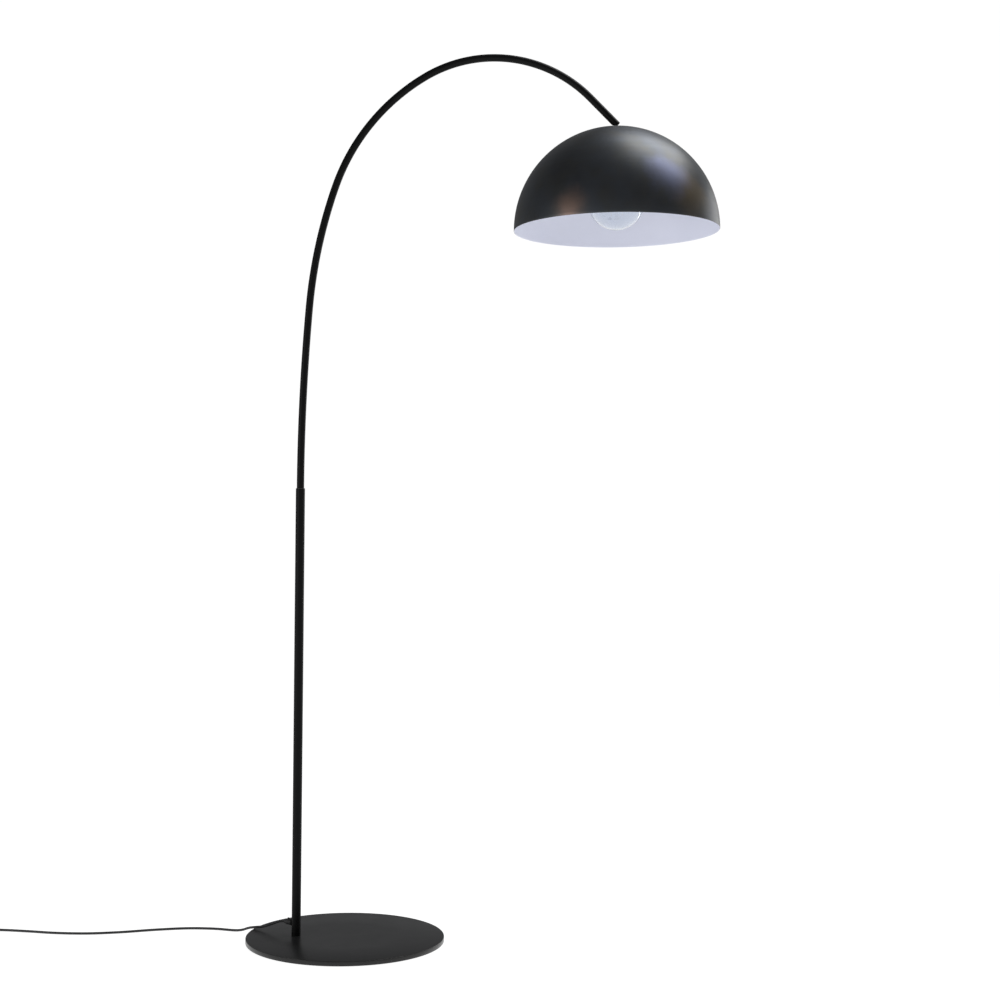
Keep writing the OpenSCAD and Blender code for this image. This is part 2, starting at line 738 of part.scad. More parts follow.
module switch_cover() {
    roof = switch_h - cover_chamfer;
    button_x = -switch_len / 2;
    color([0.06, 0.06, 0.06]) at_switch() difference() {
        union() {
            difference() {
                union() {
                    translate([0, 0, switch_base_h]) linear_extrude(roof - switch_base_h) switch_plan(0);
                    translate([0, 0, roof]) linear_extrude(cover_chamfer) switch_plan(cover_inset);
                }
                translate([0, 0, switch_base_h - 1])
                    linear_extrude(switch_h - switch_base_h + 1 - switch_wall) switch_plan(switch_wall);
            }
            translate([0, 0, switch_base_h]) at_case_screws()
                cylinder(d = cover_post_d, h = switch_h - switch_base_h - switch_wall / 2);
        }
        translate([button_x, 0, 0]) cylinder(d = button_d + 2 * free_gap, h = switch_h + 1);
        cord_way();
        translate([0, 0, switch_base_h - 1]) at_case_screws()
            cylinder(d = case_screw_shank_d + 2 * fit_gap, h = screw_end_z + 1 + fit_gap - switch_base_h);
    }
}

module switch_button() {
    top = switch_h + button_up;
    color([0.12, 0.12, 0.12]) at_button() difference() {
        translate([0, 0, flange_low]) {
            cylinder(d = button_d, h = top - flange_low);
            cylinder(d = button_d + 2 * flange_w, h = flange_h);
        }
        translate([0, 0, flange_low - 1])
            cylinder(d = button_d - 2 * button_wall, h = button_ceiling + 1 - flange_low);
    }
}

module switch_spring() {
    foot = spring_foot + spring_wire_r;
    rise = button_ceiling - spring_wire_r - fit_gap - foot;
    n = spring_turns * spring_steps;
    color("silver") at_button() swept([for (i = [0:n]) let (a = 360 * i / spring_steps)
        [spring_r * cos(a), spring_r * sin(a), foot + rise * i / n]], spring_wire_r, 8);
}

module switch_contacts() {
    color([0.8, 0.78, 0.7]) at_button() translate([-contact_block[0] / 2, -contact_block[1] / 2, switch_wall])
        cube([contact_block[0], contact_block[1], spring_foot - switch_wall]);
}

module switch_screws() {
    color("silver") at_switch() at_case_screws() translate([0, 0, case_screw_up]) {
        cylinder(d = case_screw_d, h = case_screw_head_h);
        cylinder(d = case_screw_shank_d, h = screw_end_z - case_screw_up);
    }
}

// the plug's frame: +X the way its pins point
module at_plug() { translate(plug_pos) rotate([0, 0, -90]) children(); }

module plug_body() {
    w = plug_w / 2;
    end_w = plug_tail_d / 2 + 1;
    bend_x = plug_len - plug_shoulder;
    cut_x = plug_len - plug_corner;
    color([0.06, 0.06, 0.06]) at_plug() {
        translate([plug_tail_len, 0, 0]) linear_extrude(plug_t) polygon([[0, -end_w], [bend_x, -w],
            [cut_x, -w], [plug_len, plug_corner - w], [plug_len, w - plug_corner], [cut_x, w],
            [bend_x, w], [0, end_w]]);
        translate([0, 0, plug_t / 2]) rotate([0, 90, 0])
            cylinder(d1 = plug_tail_d - 2, d2 = plug_tail_d, h = plug_tail_len + 1);
    }
}

module plug_pins() {
    shank = plug_pin_len - pin_tip_len;
    color("silver") at_plug() translate([plug_tail_len + plug_len, 0, plug_t / 2])
        for (side = [-1, 1]) translate([0, side * plug_pitch / 2, 0]) rotate([0, 90, 0]) {
            cylinder(d = plug_pin_d, h = shank);
            translate([0, 0, shank])
                cylinder(d1 = plug_pin_d, d2 = plug_pin_d - pin_tip_taper, h = pin_tip_len);
        }
}

base_felt();
base_plate();
pole_bolt();
pole_washer();
pole_foot_plug();
lower_pole();
cord_grip();
cord_grip_screw();
pole_bush();
arm_seat();
arm_grub_screw();
pole_lead();
arm_tube();
arm_lead();
tilt_screws();
shade_stem();
shade();
shade_washer();
shade_nut();
holder_cap();
holder_casing();
holder_core();
holder_thread();
holder_contact();
head_lead();
bulb_globe();
bulb_cap();
bulb_insulator();
bulb_contact();
bulb_mount();
bulb_filaments();
cord_to_switch();
switch_base();
switch_cover();
switch_button();
switch_spring();
switch_contacts();
switch_screws();
cord_to_coil();
cord_coil();
coil_tie();
cord_to_plug();
plug_body();
plug_pins();
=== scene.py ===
"""Looks for the arc floor lamp: disc base, pole, swivelling arm, tilting dome shade, globe bulb and cord."""
import json
import logging
import math
from collections.abc import Iterable, Sequence
from dataclasses import dataclass, field
from enum import Enum

import bmesh
import bpy
from mathutils import Matrix, Vector

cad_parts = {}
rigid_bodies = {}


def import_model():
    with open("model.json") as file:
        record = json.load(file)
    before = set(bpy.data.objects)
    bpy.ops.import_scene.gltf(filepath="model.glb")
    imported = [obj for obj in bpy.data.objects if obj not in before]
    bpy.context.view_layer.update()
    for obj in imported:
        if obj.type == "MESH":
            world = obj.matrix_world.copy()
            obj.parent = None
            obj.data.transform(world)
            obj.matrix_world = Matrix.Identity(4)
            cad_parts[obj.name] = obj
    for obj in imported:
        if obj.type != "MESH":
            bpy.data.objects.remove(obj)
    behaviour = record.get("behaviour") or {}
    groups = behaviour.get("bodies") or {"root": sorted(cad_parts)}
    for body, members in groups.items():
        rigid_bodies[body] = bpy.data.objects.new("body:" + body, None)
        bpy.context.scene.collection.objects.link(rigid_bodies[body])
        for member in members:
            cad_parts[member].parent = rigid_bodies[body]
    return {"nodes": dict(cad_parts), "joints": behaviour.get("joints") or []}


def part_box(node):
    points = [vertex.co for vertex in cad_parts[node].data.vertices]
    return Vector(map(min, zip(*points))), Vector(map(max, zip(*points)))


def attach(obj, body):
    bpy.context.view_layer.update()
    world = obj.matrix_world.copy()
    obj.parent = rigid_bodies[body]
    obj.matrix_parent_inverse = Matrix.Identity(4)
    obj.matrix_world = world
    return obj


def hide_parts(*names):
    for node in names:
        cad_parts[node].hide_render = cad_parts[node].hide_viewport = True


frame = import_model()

LOG = logging.getLogger("lamp")
MM = 0.001
FULL = 2 * math.pi
ON_AXIS = 1e-7


def joint_place(name: str) -> Vector:
    """The place of a named hinge at rest.

    Args:
        name: the joint's name in the record.
    Returns:
        Its position in metres.
    """
    return Vector(next(j["pos_m"] for j in frame["joints"] if j["name"] == name))


# ---------------------------------------------------------------- shader maths


class Signal:
    """A shader socket that takes part in Python arithmetic by adding Math nodes."""

    def __init__(self, graph: "Graph", socket: bpy.types.NodeSocket) -> None:
        """Wraps a socket of a graph."""
        self.graph = graph
        self.socket = socket

    def _math(self, operation: str, first: object, second: object) -> "Signal":
        """Adds one Math node."""
        return self.graph.node("ShaderNodeMath", {"operation": operation}, {0: first, 1: second})

    def __add__(self, other: object) -> "Signal":
        """self + other."""
        return self._math("ADD", self, other)

    def __radd__(self, other: object) -> "Signal":
        """other + self."""
        return self._math("ADD", other, self)

    def __sub__(self, other: object) -> "Signal":
        """self - other."""
        return self._math("SUBTRACT", self, other)

    def __rsub__(self, other: object) -> "Signal":
        """other - self."""
        return self._math("SUBTRACT", other, self)

    def __mul__(self, other: object) -> "Signal":
        """self * other."""
        return self._math("MULTIPLY", self, other)

    def __rmul__(self, other: object) -> "Signal":
        """other * self."""
        return self._math("MULTIPLY", other, self)

    def over(self, edge: float, width: float) -> "Signal":
        """A soft step that rises from 0 to 1 as the signal passes an edge.

        Args:
            edge: where the step is half way.
            width: how wide the step is.
        Returns:
            The step, between 0 and 1.
        """
        span = {1: edge - width / 2, 2: edge + width / 2}
        return self.graph.node("ShaderNodeMapRange", {"interpolation_type": "SMOOTHSTEP"}, {0: self, **span})

    def sine(self) -> "Signal":
        """The sine of the signal, in radians."""
        return self._math("SINE", self, 0.0)


Rgb = tuple[float, float, float]


class Graph:
    """One material's node tree."""

    def __init__(self, name: str) -> None:
        """Starts an empty material of that name."""
        self.material = bpy.data.materials.new(name)
        self.material.use_nodes = True
        self.tree = self.material.node_tree
        self.tree.nodes.clear()

    def node(self, kind: str, settings: dict | None = None, sockets: dict | None = None,
             out: int | str = 0) -> Signal:
        """Adds a node.

        Args:
            kind: the node's type.
            settings: its own settings, set first.
            sockets: values, or signals to link, by the input's name or place.
            out: which output to return.
        Returns:
            The chosen output.
        """
        made = self.tree.nodes.new(kind)
        for key, value in (settings or {}).items():
            setattr(made, key, value)
        for key, value in (sockets or {}).items():
            if isinstance(value, Signal):
                self.tree.links.new(value.socket, made.inputs[key])
            else:
                made.inputs[key].default_value = value
        return Signal(self, made.outputs[out]) if made.outputs else None

    def place(self, centre: Sequence[float] = (0, 0, 0), scale: Sequence[float] = (1, 1, 1)) -> Signal:
        """Object coordinates, measured from a centre and scaled axis by axis."""
        here = self.node("ShaderNodeTexCoord", out="Object")
        shift = [-c * s for c, s in zip(centre, scale)]
        return self.node("ShaderNodeMapping", None, {"Vector": here, "Location": shift, "Scale": scale})

    def surface(self, scale: Sequence[float]) -> Signal:
        """The piece's own UV map, in metres along and round it, scaled axis by axis."""
        here = self.node("ShaderNodeTexCoord", out="UV")
        return self.node("ShaderNodeMapping", None, {"Vector": here, "Scale": scale})

    def noise(self, vector: Signal, scale: float, detail: float = 2.0, rough: float = 0.5) -> Signal:
        """Fractal noise between 0 and 1, with its lumps one over scale metres wide."""
        sockets = {"Vector": vector, "Scale": scale, "Detail": detail, "Roughness": rough}
        return self.node("ShaderNodeTexNoise", None, sockets)

    def axis(self, vector: Signal, name: str) -> Signal:
        """One of a vector's X, Y and Z."""
        return self.node("ShaderNodeSeparateXYZ", None, {0: vector}, name)

    def mix(self, factor: object, first: object, second: object) -> Signal:
        """A colour between two, by a factor."""
        colours = [c if isinstance(c, Signal) else (*c, 1.0) for c in (first, second)]
        sockets = {0: factor, 6: colours[0], 7: colours[1]}
        return self.node("ShaderNodeMix", {"data_type": "RGBA"}, sockets, 2)

    def patch(self, here: Signal, centre: Sequence[float], radius: float, edge: Signal) -> Signal:
        """A soft spot that is 1 at a centre and 0 beyond a radius, with its border moved by a signal."""
        sockets = {0: here, 1: centre}
        away = self.node("ShaderNodeVectorMath", {"operation": "DISTANCE"}, sockets, "Value")
        return 1.0 - (away * (1 / radius) + (edge - 0.5)).over(0.55, 0.9)

    def bump(self, height: Signal, depth: float, strength: float = 1.0) -> Signal:
        """A normal bent by a height between 0 and 1 that stands for a depth in metres."""
        return self.node("ShaderNodeBump", None, {"Height": height, "Distance": depth, "Strength": strength})

    def finish(self, sockets: dict) -> bpy.types.Material:
        """Closes the material with a Principled shader.

        Args:
            sockets: the shader's sockets by name, with colours as three numbers.
        Returns:
            The material.
        """
        full = {k: (*v, 1.0) if isinstance(v, tuple) else v for k, v in sockets.items()}
        shader = self.node("ShaderNodeBsdfPrincipled", None, full)
        self.node("ShaderNodeOutputMaterial", None, {"Surface": shader})
        return self.material


# ---------------------------------------------------------------- finishes


@dataclass(frozen=True)
class Finish:
    """A finish that makes its material once and then hands out the same one."""

    name: str

    def material(self) -> bpy.types.Material:
        """The finish's material, made the first time it is asked for."""
        own = f"{self.name}_finish"  # the frame's slots have materials with plain names
        return bpy.data.materials.get(own) or self.make(Graph(own))

    def make(self, graph: Graph) -> bpy.types.Material:
        """Builds the nodes; each finish has its own."""
        raise NotImplementedError


@dataclass(frozen=True)
class PowderCoat(Finish):
    """Baked satin paint on steel: a fine peel, with cloudy gloss and a little dust."""

    colour: Rgb = (0.0035, 0.0035, 0.0036)
    dust: Rgb = (0.009, 0.009, 0.0093)
    roughness: float = 0.42
    peel: float = 900.0
    peel_depth: float = 0.000008
    gloss: float = 0.1

    def make(self, graph: Graph) -> bpy.types.Material:
        """Peel in the normal, clouds in the gloss, dust in the colour."""
        here = graph.place()
        cloud = graph.noise(here, 22.0, 4.0, 0.6)
        speck = graph.noise(here, 1400.0, 1.0).over(0.74, 0.08)
        colour = graph.mix(cloud * 0.45 + speck * 0.25, self.colour, self.dust)
        peel = graph.noise(here, self.peel, 2.0)
        return graph.finish({
            "Base Color": colour,
            "Roughness": cloud * 0.1 + (self.roughness - 0.05),
            "Specular IOR Level": self.gloss,
            "Normal": graph.bump(peel, self.peel_depth),
        })


@dataclass(frozen=True)
class PaintedReflection:
    """A painted reflection: a coloured spot in the metal's base colour that stands for a tinted reflection,
    placed from the rim's centre.
    """

    place: tuple[float, float, float]
    radius: float
    colour: Rgb
    strength: float


@dataclass(frozen=True)
class SpunMetal(Finish):
    """Blackened sheet spun on a lathe: fine rings, painted reflections as coloured spots, and a soft sheen.
    Reads the UV map.
    """

    cool: Rgb = (0.078, 0.087, 0.1)
    deep: Rgb = (0.04, 0.041, 0.044)
    olive: Rgb = (0.075, 0.072, 0.058)
    roughness: float = 0.42
    rim_centre: tuple[float, float, float] = (0.5792, 0.0, 1.5544)
    # painted reflections: copper, straw and blue spots in front, and two more in the same colours at the back
    marks: tuple[PaintedReflection, ...] = (
        PaintedReflection((-0.111, -0.190, 0.018), 0.052, (0.19, 0.13, 0.105), 0.8),
        PaintedReflection((0.142, -0.163, 0.050), 0.070, (0.14, 0.11, 0.07), 0.7),
        PaintedReflection((0.098, -0.184, 0.086), 0.070, (0.10, 0.11, 0.17), 0.8),
        PaintedReflection((0.060, 0.205, 0.040), 0.090, (0.18, 0.11, 0.09), 0.7),
        PaintedReflection((-0.180, 0.110, 0.060), 0.080, (0.10, 0.11, 0.16), 0.6),
    )

    def make(self, graph: Graph) -> bpy.types.Material:
        """Rings run round the shade, and painted reflections lie as coloured spots near its rim."""
        rings = graph.noise(graph.surface((0.0, 5200.0, 1)), 1.0, 3.0, 0.7)
        broad = graph.noise(graph.surface((0.0, 90.0, 1)), 1.0, 3.0, 0.6)
        here = graph.place(self.rim_centre)
        cloud = graph.noise(here, 6.0, 3.0, 0.55)
        fine = graph.noise(here, 19.0, 4.0, 0.6)
        colour = graph.mix(cloud.over(0.5, 0.4) * 0.6 + broad * 0.25, self.cool, self.deep)
        colour = graph.mix(fine.over(0.55, 0.3) * 0.4, colour, self.olive)
        # paint each coloured reflection into the base colour as a soft spot
        for reflection in self.marks:
            spot = graph.patch(here, reflection.place, reflection.radius, fine)
            colour = graph.mix(spot * reflection.strength, colour, reflection.colour)
        return graph.finish({
            "Base Color": colour,
            "Metallic": 1.0,
            "Roughness": rings * 0.1 + broad * 0.06 + (self.roughness - 0.08),
            "Normal": graph.bump(rings, 0.000018),
        })


@dataclass(frozen=True)
class Enamel(Finish):
    """White baked enamel with a fine peel and slightly uneven thickness."""

    colour: Rgb = (0.72, 0.735, 0.83)
    thin: Rgb = (0.66, 0.68, 0.77)
    roughness: float = 0.42

    def make(self, graph: Graph) -> bpy.types.Material:
        """Peel in the normal and clouds in colour and gloss."""
        here = graph.place()
        cloud = graph.noise(here, 14.0, 4.0, 0.6)
        peel = graph.noise(here, 620.0, 2.0)
        return graph.finish({
            "Base Color": graph.mix(cloud * 0.5, self.colour, self.thin),
            "Roughness": cloud * 0.12 + (self.roughness - 0.06),
            "Normal": graph.bump(peel, 0.00003),
        })


@dataclass(frozen=True)
class Moulded(Finish):
    """Moulded plastic or rubber with a spark-eroded grain and handling marks."""

    colour: Rgb = (0.018, 0.018, 0.019)
    worn: Rgb = (0.045, 0.045, 0.047)
    roughness: float = 0.5
    grain: float = 1500.0
    grain_depth: float = 0.00003

    def make(self, graph: Graph) -> bpy.types.Material:
        """Grain in the normal, rubbed patches in colour and gloss."""
        here = graph.place()
        rubbed = graph.noise(here, 60.0, 4.0, 0.65).over(0.58, 0.3)
        grain = graph.noise(here, self.grain, 2.0, 0.6)
        return graph.finish({
            "Base Color": graph.mix(rubbed * 0.5 + grain * 0.15, self.colour, self.worn),
            "Roughness": grain * 0.12 - rubbed * 0.08 + self.roughness,
            "Normal": graph.bump(grain, self.grain_depth),
        })


@dataclass(frozen=True)
class Jacket(Finish):
    """Drawn cable jacket: a fine grain and a waxy bloom."""

    colour: Rgb = (0.014, 0.014, 0.015)
    bloom: Rgb = (0.05, 0.05, 0.052)
    roughness: float = 0.44

    def make(self, graph: Graph) -> bpy.types.Material:
        """Grain in the normal and bloom in patches."""
        here = graph.place()
        bloom = graph.noise(here, 45.0, 3.0, 0.6).over(0.55, 0.4)
        grain = graph.noise(here, 2400.0, 1.0)
        return graph.finish({
            "Base Color": graph.mix(bloom * 0.4, self.colour, self.bloom),
            "Roughness": bloom * 0.12 + grain * 0.06 + self.roughness,
            "Normal": graph.bump(grain, 0.00001),
        })


@dataclass(frozen=True)
class Metal(Finish):
    """Plated or drawn metal with fine scratches and a patchy tarnish."""

    colour: Rgb = (0.62, 0.63, 0.65)
    tarnish: Rgb = (0.42, 0.42, 0.44)
    roughness: float = 0.28
    scratch: tuple[float, float, float] = (300.0, 300.0, 2600.0)

    def make(self, graph: Graph) -> bpy.types.Material:
        """Scratches run across the axis with the largest scale."""
        here = graph.place()
        patch = graph.noise(here, 130.0, 4.0, 0.65)
        marks = graph.noise(graph.place(scale=self.scratch), 1.0, 3.0, 0.7)
        return graph.finish({
            "Base Color": graph.mix(patch.over(0.55, 0.4) * 0.8, self.colour, self.tarnish),
            "Metallic": 1.0,
            "Roughness": patch * 0.14 + marks * 0.1 + (self.roughness - 0.1),
            "Normal": graph.bump(marks, 0.000015),
        })


@dataclass(frozen=True)
class Glaze(Finish):
    """Fired porcelain: cream body, fine pinholes and a clear glaze."""

    colour: Rgb = (0.78, 0.76, 0.7)
    speck: Rgb = (0.5, 0.47, 0.42)

    def make(self, graph: Graph) -> bpy.types.Material:
        """Specks in the colour under a glossy coat."""
        here = graph.place()
        speck = graph.noise(here, 1100.0, 2.0).over(0.72, 0.06)
        wave = graph.noise(here, 160.0, 2.0)
        return graph.finish({
            "Base Color": graph.mix(speck * 0.7, self.colour, self.speck),
            "Roughness": wave * 0.1 + 0.2,
            "Coat Weight": 0.6,
            "Coat Roughness": 0.08,
            "Normal": graph.bump(wave, 0.00006),
        })


@dataclass(frozen=True)
class Felted(Finish):
    """Pressed or woven fibres: a nap in the colour and the normal, with sheen."""

    colour: Rgb = (0.035, 0.035, 0.038)
    lint: Rgb = (0.11, 0.11, 0.115)
    fibre: float = 2600.0

    def make(self, graph: Graph) -> bpy.types.Material:
        """Fibres of two sizes, the finer one in the normal."""
        here = graph.place()
        nap = graph.noise(here, self.fibre, 3.0, 0.75)
        clump = graph.noise(here, self.fibre / 9, 3.0, 0.6)
        return graph.finish({
            "Base Color": graph.mix(nap.over(0.58, 0.3) * 0.6 + clump * 0.3, self.colour, self.lint),
            "Roughness": nap * 0.1 + 0.86,
            "Sheen Weight": 0.35,
            "Normal": graph.bump(nap + clump, 0.00025),
        })


@dataclass(frozen=True)
class BulbGlass(Finish):
    """Blown glass with faint ripples and a film of dust."""

    tint: Rgb = (0.935, 0.965, 0.98)
    dusty: Rgb = (0.88, 0.9, 0.92)

    def make(self, graph: Graph) -> bpy.types.Material:
        """Ripples in the normal and dust in colour and roughness."""
        here = graph.place()
        ripple = graph.noise(here, 26.0, 2.0)
        dust = graph.noise(here, 240.0, 4.0, 0.7)
        return graph.finish({
            "Base Color": graph.mix(dust * 0.25, self.tint, self.dusty),
            "Roughness": dust.over(0.7, 0.2) * 0.02,
            "Transmission Weight": 1.0,
            "IOR": 1.47,
            "Normal": graph.bump(ripple, 0.00002),
        })


@dataclass(frozen=True)
class Phosphor(Finish):
    """The yellow phosphor sleeve of a filament, with the chips under it as darker bands."""

    colour: Rgb = (0.85, 0.62, 0.16)
    band: Rgb = (0.62, 0.4, 0.08)

    def make(self, graph: Graph) -> bpy.types.Material:
        """Bands across the filament, about a millimetre apart."""
        here = graph.place()
        band = (graph.axis(here, "Z") * 3600.0).sine() * 0.5 + 0.5
        grain = graph.noise(here, 1800.0, 2.0)
        return graph.finish({
            "Base Color": graph.mix(band * 0.6, self.colour, self.band),
            "Roughness": grain * 0.2 + 0.4,
            "Normal": graph.bump(grain, 0.00003),
        })


POLE_PAINT = PowderCoat("pole_paint")
BASE_PAINT = PowderCoat("base_paint", colour=(0.011, 0.011, 0.0112), dust=(0.022, 0.022, 0.0225),
                        roughness=0.3, peel=1100.0, peel_depth=0.000012, gloss=0.3)
SHADE_OUTSIDE = SpunMetal("shade_outside")
SHADE_INSIDE = Enamel("shade_inside")
BLACK_NYLON = Moulded("black_nylon")
SWITCH_SHELL = Moulded("switch_shell", colour=(0.022, 0.022, 0.023), roughness=0.46)
BUTTON_SHELL = Moulded("button_shell", colour=(0.05, 0.05, 0.052), worn=(0.1, 0.1, 0.105), roughness=0.4)
HOLDER_SHELL = Moulded("holder_shell", colour=(0.74, 0.73, 0.7), worn=(0.62, 0.61, 0.58), roughness=0.4)
CONTACT_BLOCK = Moulded("contact_block", colour=(0.6, 0.56, 0.46), worn=(0.5, 0.46, 0.38), roughness=0.55)
CORD_JACKET = Jacket("cord_jacket")
ZINC = Metal("zinc_plate")
BRASS = Metal("brass_shell", colour=(0.72, 0.52, 0.2), tarnish=(0.45, 0.3, 0.12), roughness=0.3)
NICKEL = Metal("nickel_plate", colour=(0.7, 0.69, 0.66), tarnish=(0.52, 0.5, 0.46), roughness=0.2)
PORCELAIN = Glaze("porcelain")
CAP_GLASS = Glaze("cap_glass", colour=(0.02, 0.02, 0.03), speck=(0.06, 0.06, 0.07))
FELT = Felted("base_felt")
STRAP = Felted("coil_strap", colour=(0.02, 0.02, 0.022), lint=(0.07, 0.07, 0.075), fibre=3400.0)
GLASS = BulbGlass("bulb_glass")
PHOSPHOR = Phosphor("filament_phosphor")


# ---------------------------------------------------------------- meshes


def add_piece(name: str, mesh: bpy.types.Mesh, finishes: Iterable[Finish]) -> bpy.types.Object:
    """Puts a mesh in the scene as an object at the origin, with its materials."""
    mesh.name = name
    piece = bpy.data.objects.new(name, mesh)
    bpy.context.scene.collection.objects.link(piece)
    for finish in finishes:
        mesh.materials.append(finish.material())
    return piece


def settle(piece: bpy.types.Object, body: str, nodes: Iterable[str] = (),
           sharp: float | None = None) -> bpy.types.Object:
    """Shades a finished piece, puts it on its body and hides the CAD nodes that it stands for.

    Args:
        piece: the piece.
        body: the body that it rides on.
        nodes: the CAD nodes that it stands for.
        sharp: the smallest angle between faces, in degrees, that stays a crisp edge.
    Returns:
        The piece.
    """
    if sharp is not None:
        piece.data.set_sharp_from_angle(angle=math.radians(sharp))
    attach(piece, body)
    if nodes:
        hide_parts(*nodes)
    LOG.info("%s: %d faces on %s", piece.name, len(getattr(piece.data, "polygons", [])), body)
    return piece


Outline = Sequence[tuple[float, float]]


def closed_mesh(bm: bmesh.types.BMesh, name: str, matrix: Matrix | None = None) -> bpy.types.Mesh:
    """Turns a drawn solid into a mesh with its faces outward, put where a matrix says."""
    bmesh.ops.recalc_face_normals(bm, faces=bm.faces)
    mesh = bpy.data.meshes.new(name)
    bm.to_mesh(mesh)
    bm.free()
    if matrix is not None:
        mesh.transform(matrix)
    return mesh


def arc(centre: tuple[float, float], radius: float, start: float, end: float, steps: int) -> list:
    """Points along a circle's arc.

    Args:
        centre: the circle's centre.
        radius: its radius.
        start: the first angle in degrees.
        end: the last angle in degrees.
        steps: how many chords the arc is cut into.
    Returns:
        steps + 1 points.
    """
    angles = [math.radians(start + (end - start) * i / steps) for i in range(steps + 1)]
    return [(centre[0] + radius * math.cos(a), centre[1] + radius * math.sin(a)) for a in angles]


def turned(outline: Outline, sides: int, matrix: Matrix | None = None, closed: bool = False,
           inside_from: int | None = None) -> bpy.types.Mesh:
    """A mesh turned round the Z axis, as on a lathe.

    Args:
        outline: radius and height of each point, going down the outside.
        sides: how many steps there are round it.
        matrix: where the turned shape goes.
        closed: whether the last point joins the first, as on a ring or a shell.
        inside_from: the outline's point from which faces take the second material.
    Returns:
        A closed, smooth mesh whose UV map holds metres round and along the outline.
    """
    bm = bmesh.new()
    layer = bm.loops.layers.uv.new("surface")
    rows = []
    for r, z in outline:
        if r < ON_AXIS:
            rows.append([bm.verts.new((0, 0, z))] * sides)
        else:
            rows.append([bm.verts.new((r * math.cos(FULL * k / sides), r * math.sin(FULL * k / sides), z))
                         for k in range(sides)])
    run = [0.0]
    for a, b in zip(outline, outline[1:]):
        run.append(run[-1] + math.dist(a, b))
    widest = max(r for r, _ in outline)
    count = len(outline) if closed else len(outline) - 1
    for i in range(count):
        j = (i + 1) % len(outline)
        for k in range(sides):
            m = (k + 1) % sides
            corners = [(rows[i][k], k, i), (rows[j][k], k, i + 1), (rows[j][m], k + 1, i + 1),
                       (rows[i][m], k + 1, i)]
            kept = [c for n, c in enumerate(corners) if c[0] not in [d[0] for d in corners[:n]]]
            if len(kept) < 3:
                continue
            face = bm.faces.new([c[0] for c in kept])
            face.smooth = True
            face.material_index = int(inside_from is not None and i >= inside_from)
            for loop, (_, u, v) in zip(face.loops, kept):
                along = run[v] if v < len(run) else run[-1] + math.dist(outline[-1], outline[0])
                loop[layer].uv = (FULL * widest * u / sides, along)
    if not closed:
        for row in (rows[0], rows[-1]):
            if row[0] is not row[1]:
                bm.faces.new(row)
    return closed_mesh(bm, "turned", matrix)


def prism(outline: Outline, low: float, high: float, matrix: Matrix | None = None) -> bpy.types.Mesh:
    """A solid with the same outline at two heights.

    Args:
        outline: the corners in plan, in order.
        low: the lower height.
        high: the upper height.
        matrix: where the solid goes.
    Returns:
        The closed mesh.
    """
    bm = bmesh.new()
    floor = [bm.verts.new((x, y, low)) for x, y in outline]
    roof = [bm.verts.new((x, y, high)) for x, y in outline]
    bm.faces.new(floor)
    bm.faces.new(roof)
    for k in range(len(outline)):
        m = (k + 1) % len(outline)
        bm.faces.new((floor[k], floor[m], roof[m], roof[k]))
    return closed_mesh(bm, "prism", matrix)


def soften(piece: bpy.types.Object, width: float, segments: int = 3, angle: float = 40.0) -> None:
    """Rounds a piece's sharp edges for good and shades it smooth.

    Args:
        piece: the piece, whose mesh is replaced.
        width: how far the rounding reaches.
        segments: how many faces there are across a rounded edge.
        angle: the smallest angle between faces, in degrees, that counts as sharp.
    """
    bevel = piece.modifiers.new("bevel", "BEVEL")
    bevel.width = width
    bevel.segments = segments
    bevel.limit_method = "ANGLE"
    bevel.angle_limit = math.radians(angle)
    bevel.harden_normals = False
    bake_modifiers(piece)
    piece.data.set_sharp_from_angle(angle=math.radians(angle))


def bake_modifiers(piece: bpy.types.Object) -> None:
    """Turns a piece's modifiers into plain mesh and removes them."""
    bpy.context.view_layer.update()
    graph = bpy.context.evaluated_depsgraph_get()
    made = bpy.data.meshes.new_from_object(piece.evaluated_get(graph), depsgraph=graph)
    piece.modifiers.clear()
    old, piece.data = piece.data, made
    made.polygons.foreach_set("use_smooth", [True] * len(made.polygons))
    bpy.data.meshes.remove(old)


def cut(piece: bpy.types.Object, cutter_mesh: bpy.types.Mesh) -> None:
    """Cuts a closed mesh out of a piece."""
    cutter = bpy.data.objects.new("cutter", cutter_mesh)
    bpy.context.scene.collection.objects.link(cutter)
    boolean = piece.modifiers.new("cut", "BOOLEAN")
    boolean.operation = "DIFFERENCE"
    boolean.solver = "EXACT"
    boolean.object = cutter
    bake_modifiers(piece)
    bpy.data.objects.remove(cutter)
    bpy.data.meshes.remove(cutter_mesh)


def joined(meshes: Sequence[bpy.types.Mesh]) -> bpy.types.Mesh:
    """One mesh made of several, which are used up."""
    bm = bmesh.new()
    for mesh in meshes:
        bm.from_mesh(mesh)
    whole = bpy.data.meshes.new("joined")
    bm.to_mesh(whole)
    bm.free()
    for mesh in meshes:
        bpy.data.meshes.remove(mesh)
    return whole


def box_mesh(low: Sequence[float], high: Sequence[float], matrix: Matrix | None = None) -> bpy.types.Mesh:
    """A box between two corners."""
    outline = [(low[0], low[1]), (high[0], low[1]), (high[0], high[1]), (low[0], high[1])]
    return prism(outline, low[2], high[2], matrix)


# ---------------------------------------------------------------- shapes that repeat


class Socket(Enum):
    """The kinds of input that a shape's node tree takes."""

    COUNT = "NodeSocketInt"
    LENGTH = "NodeSocketFloat"
    SIZES = "NodeSocketVector"


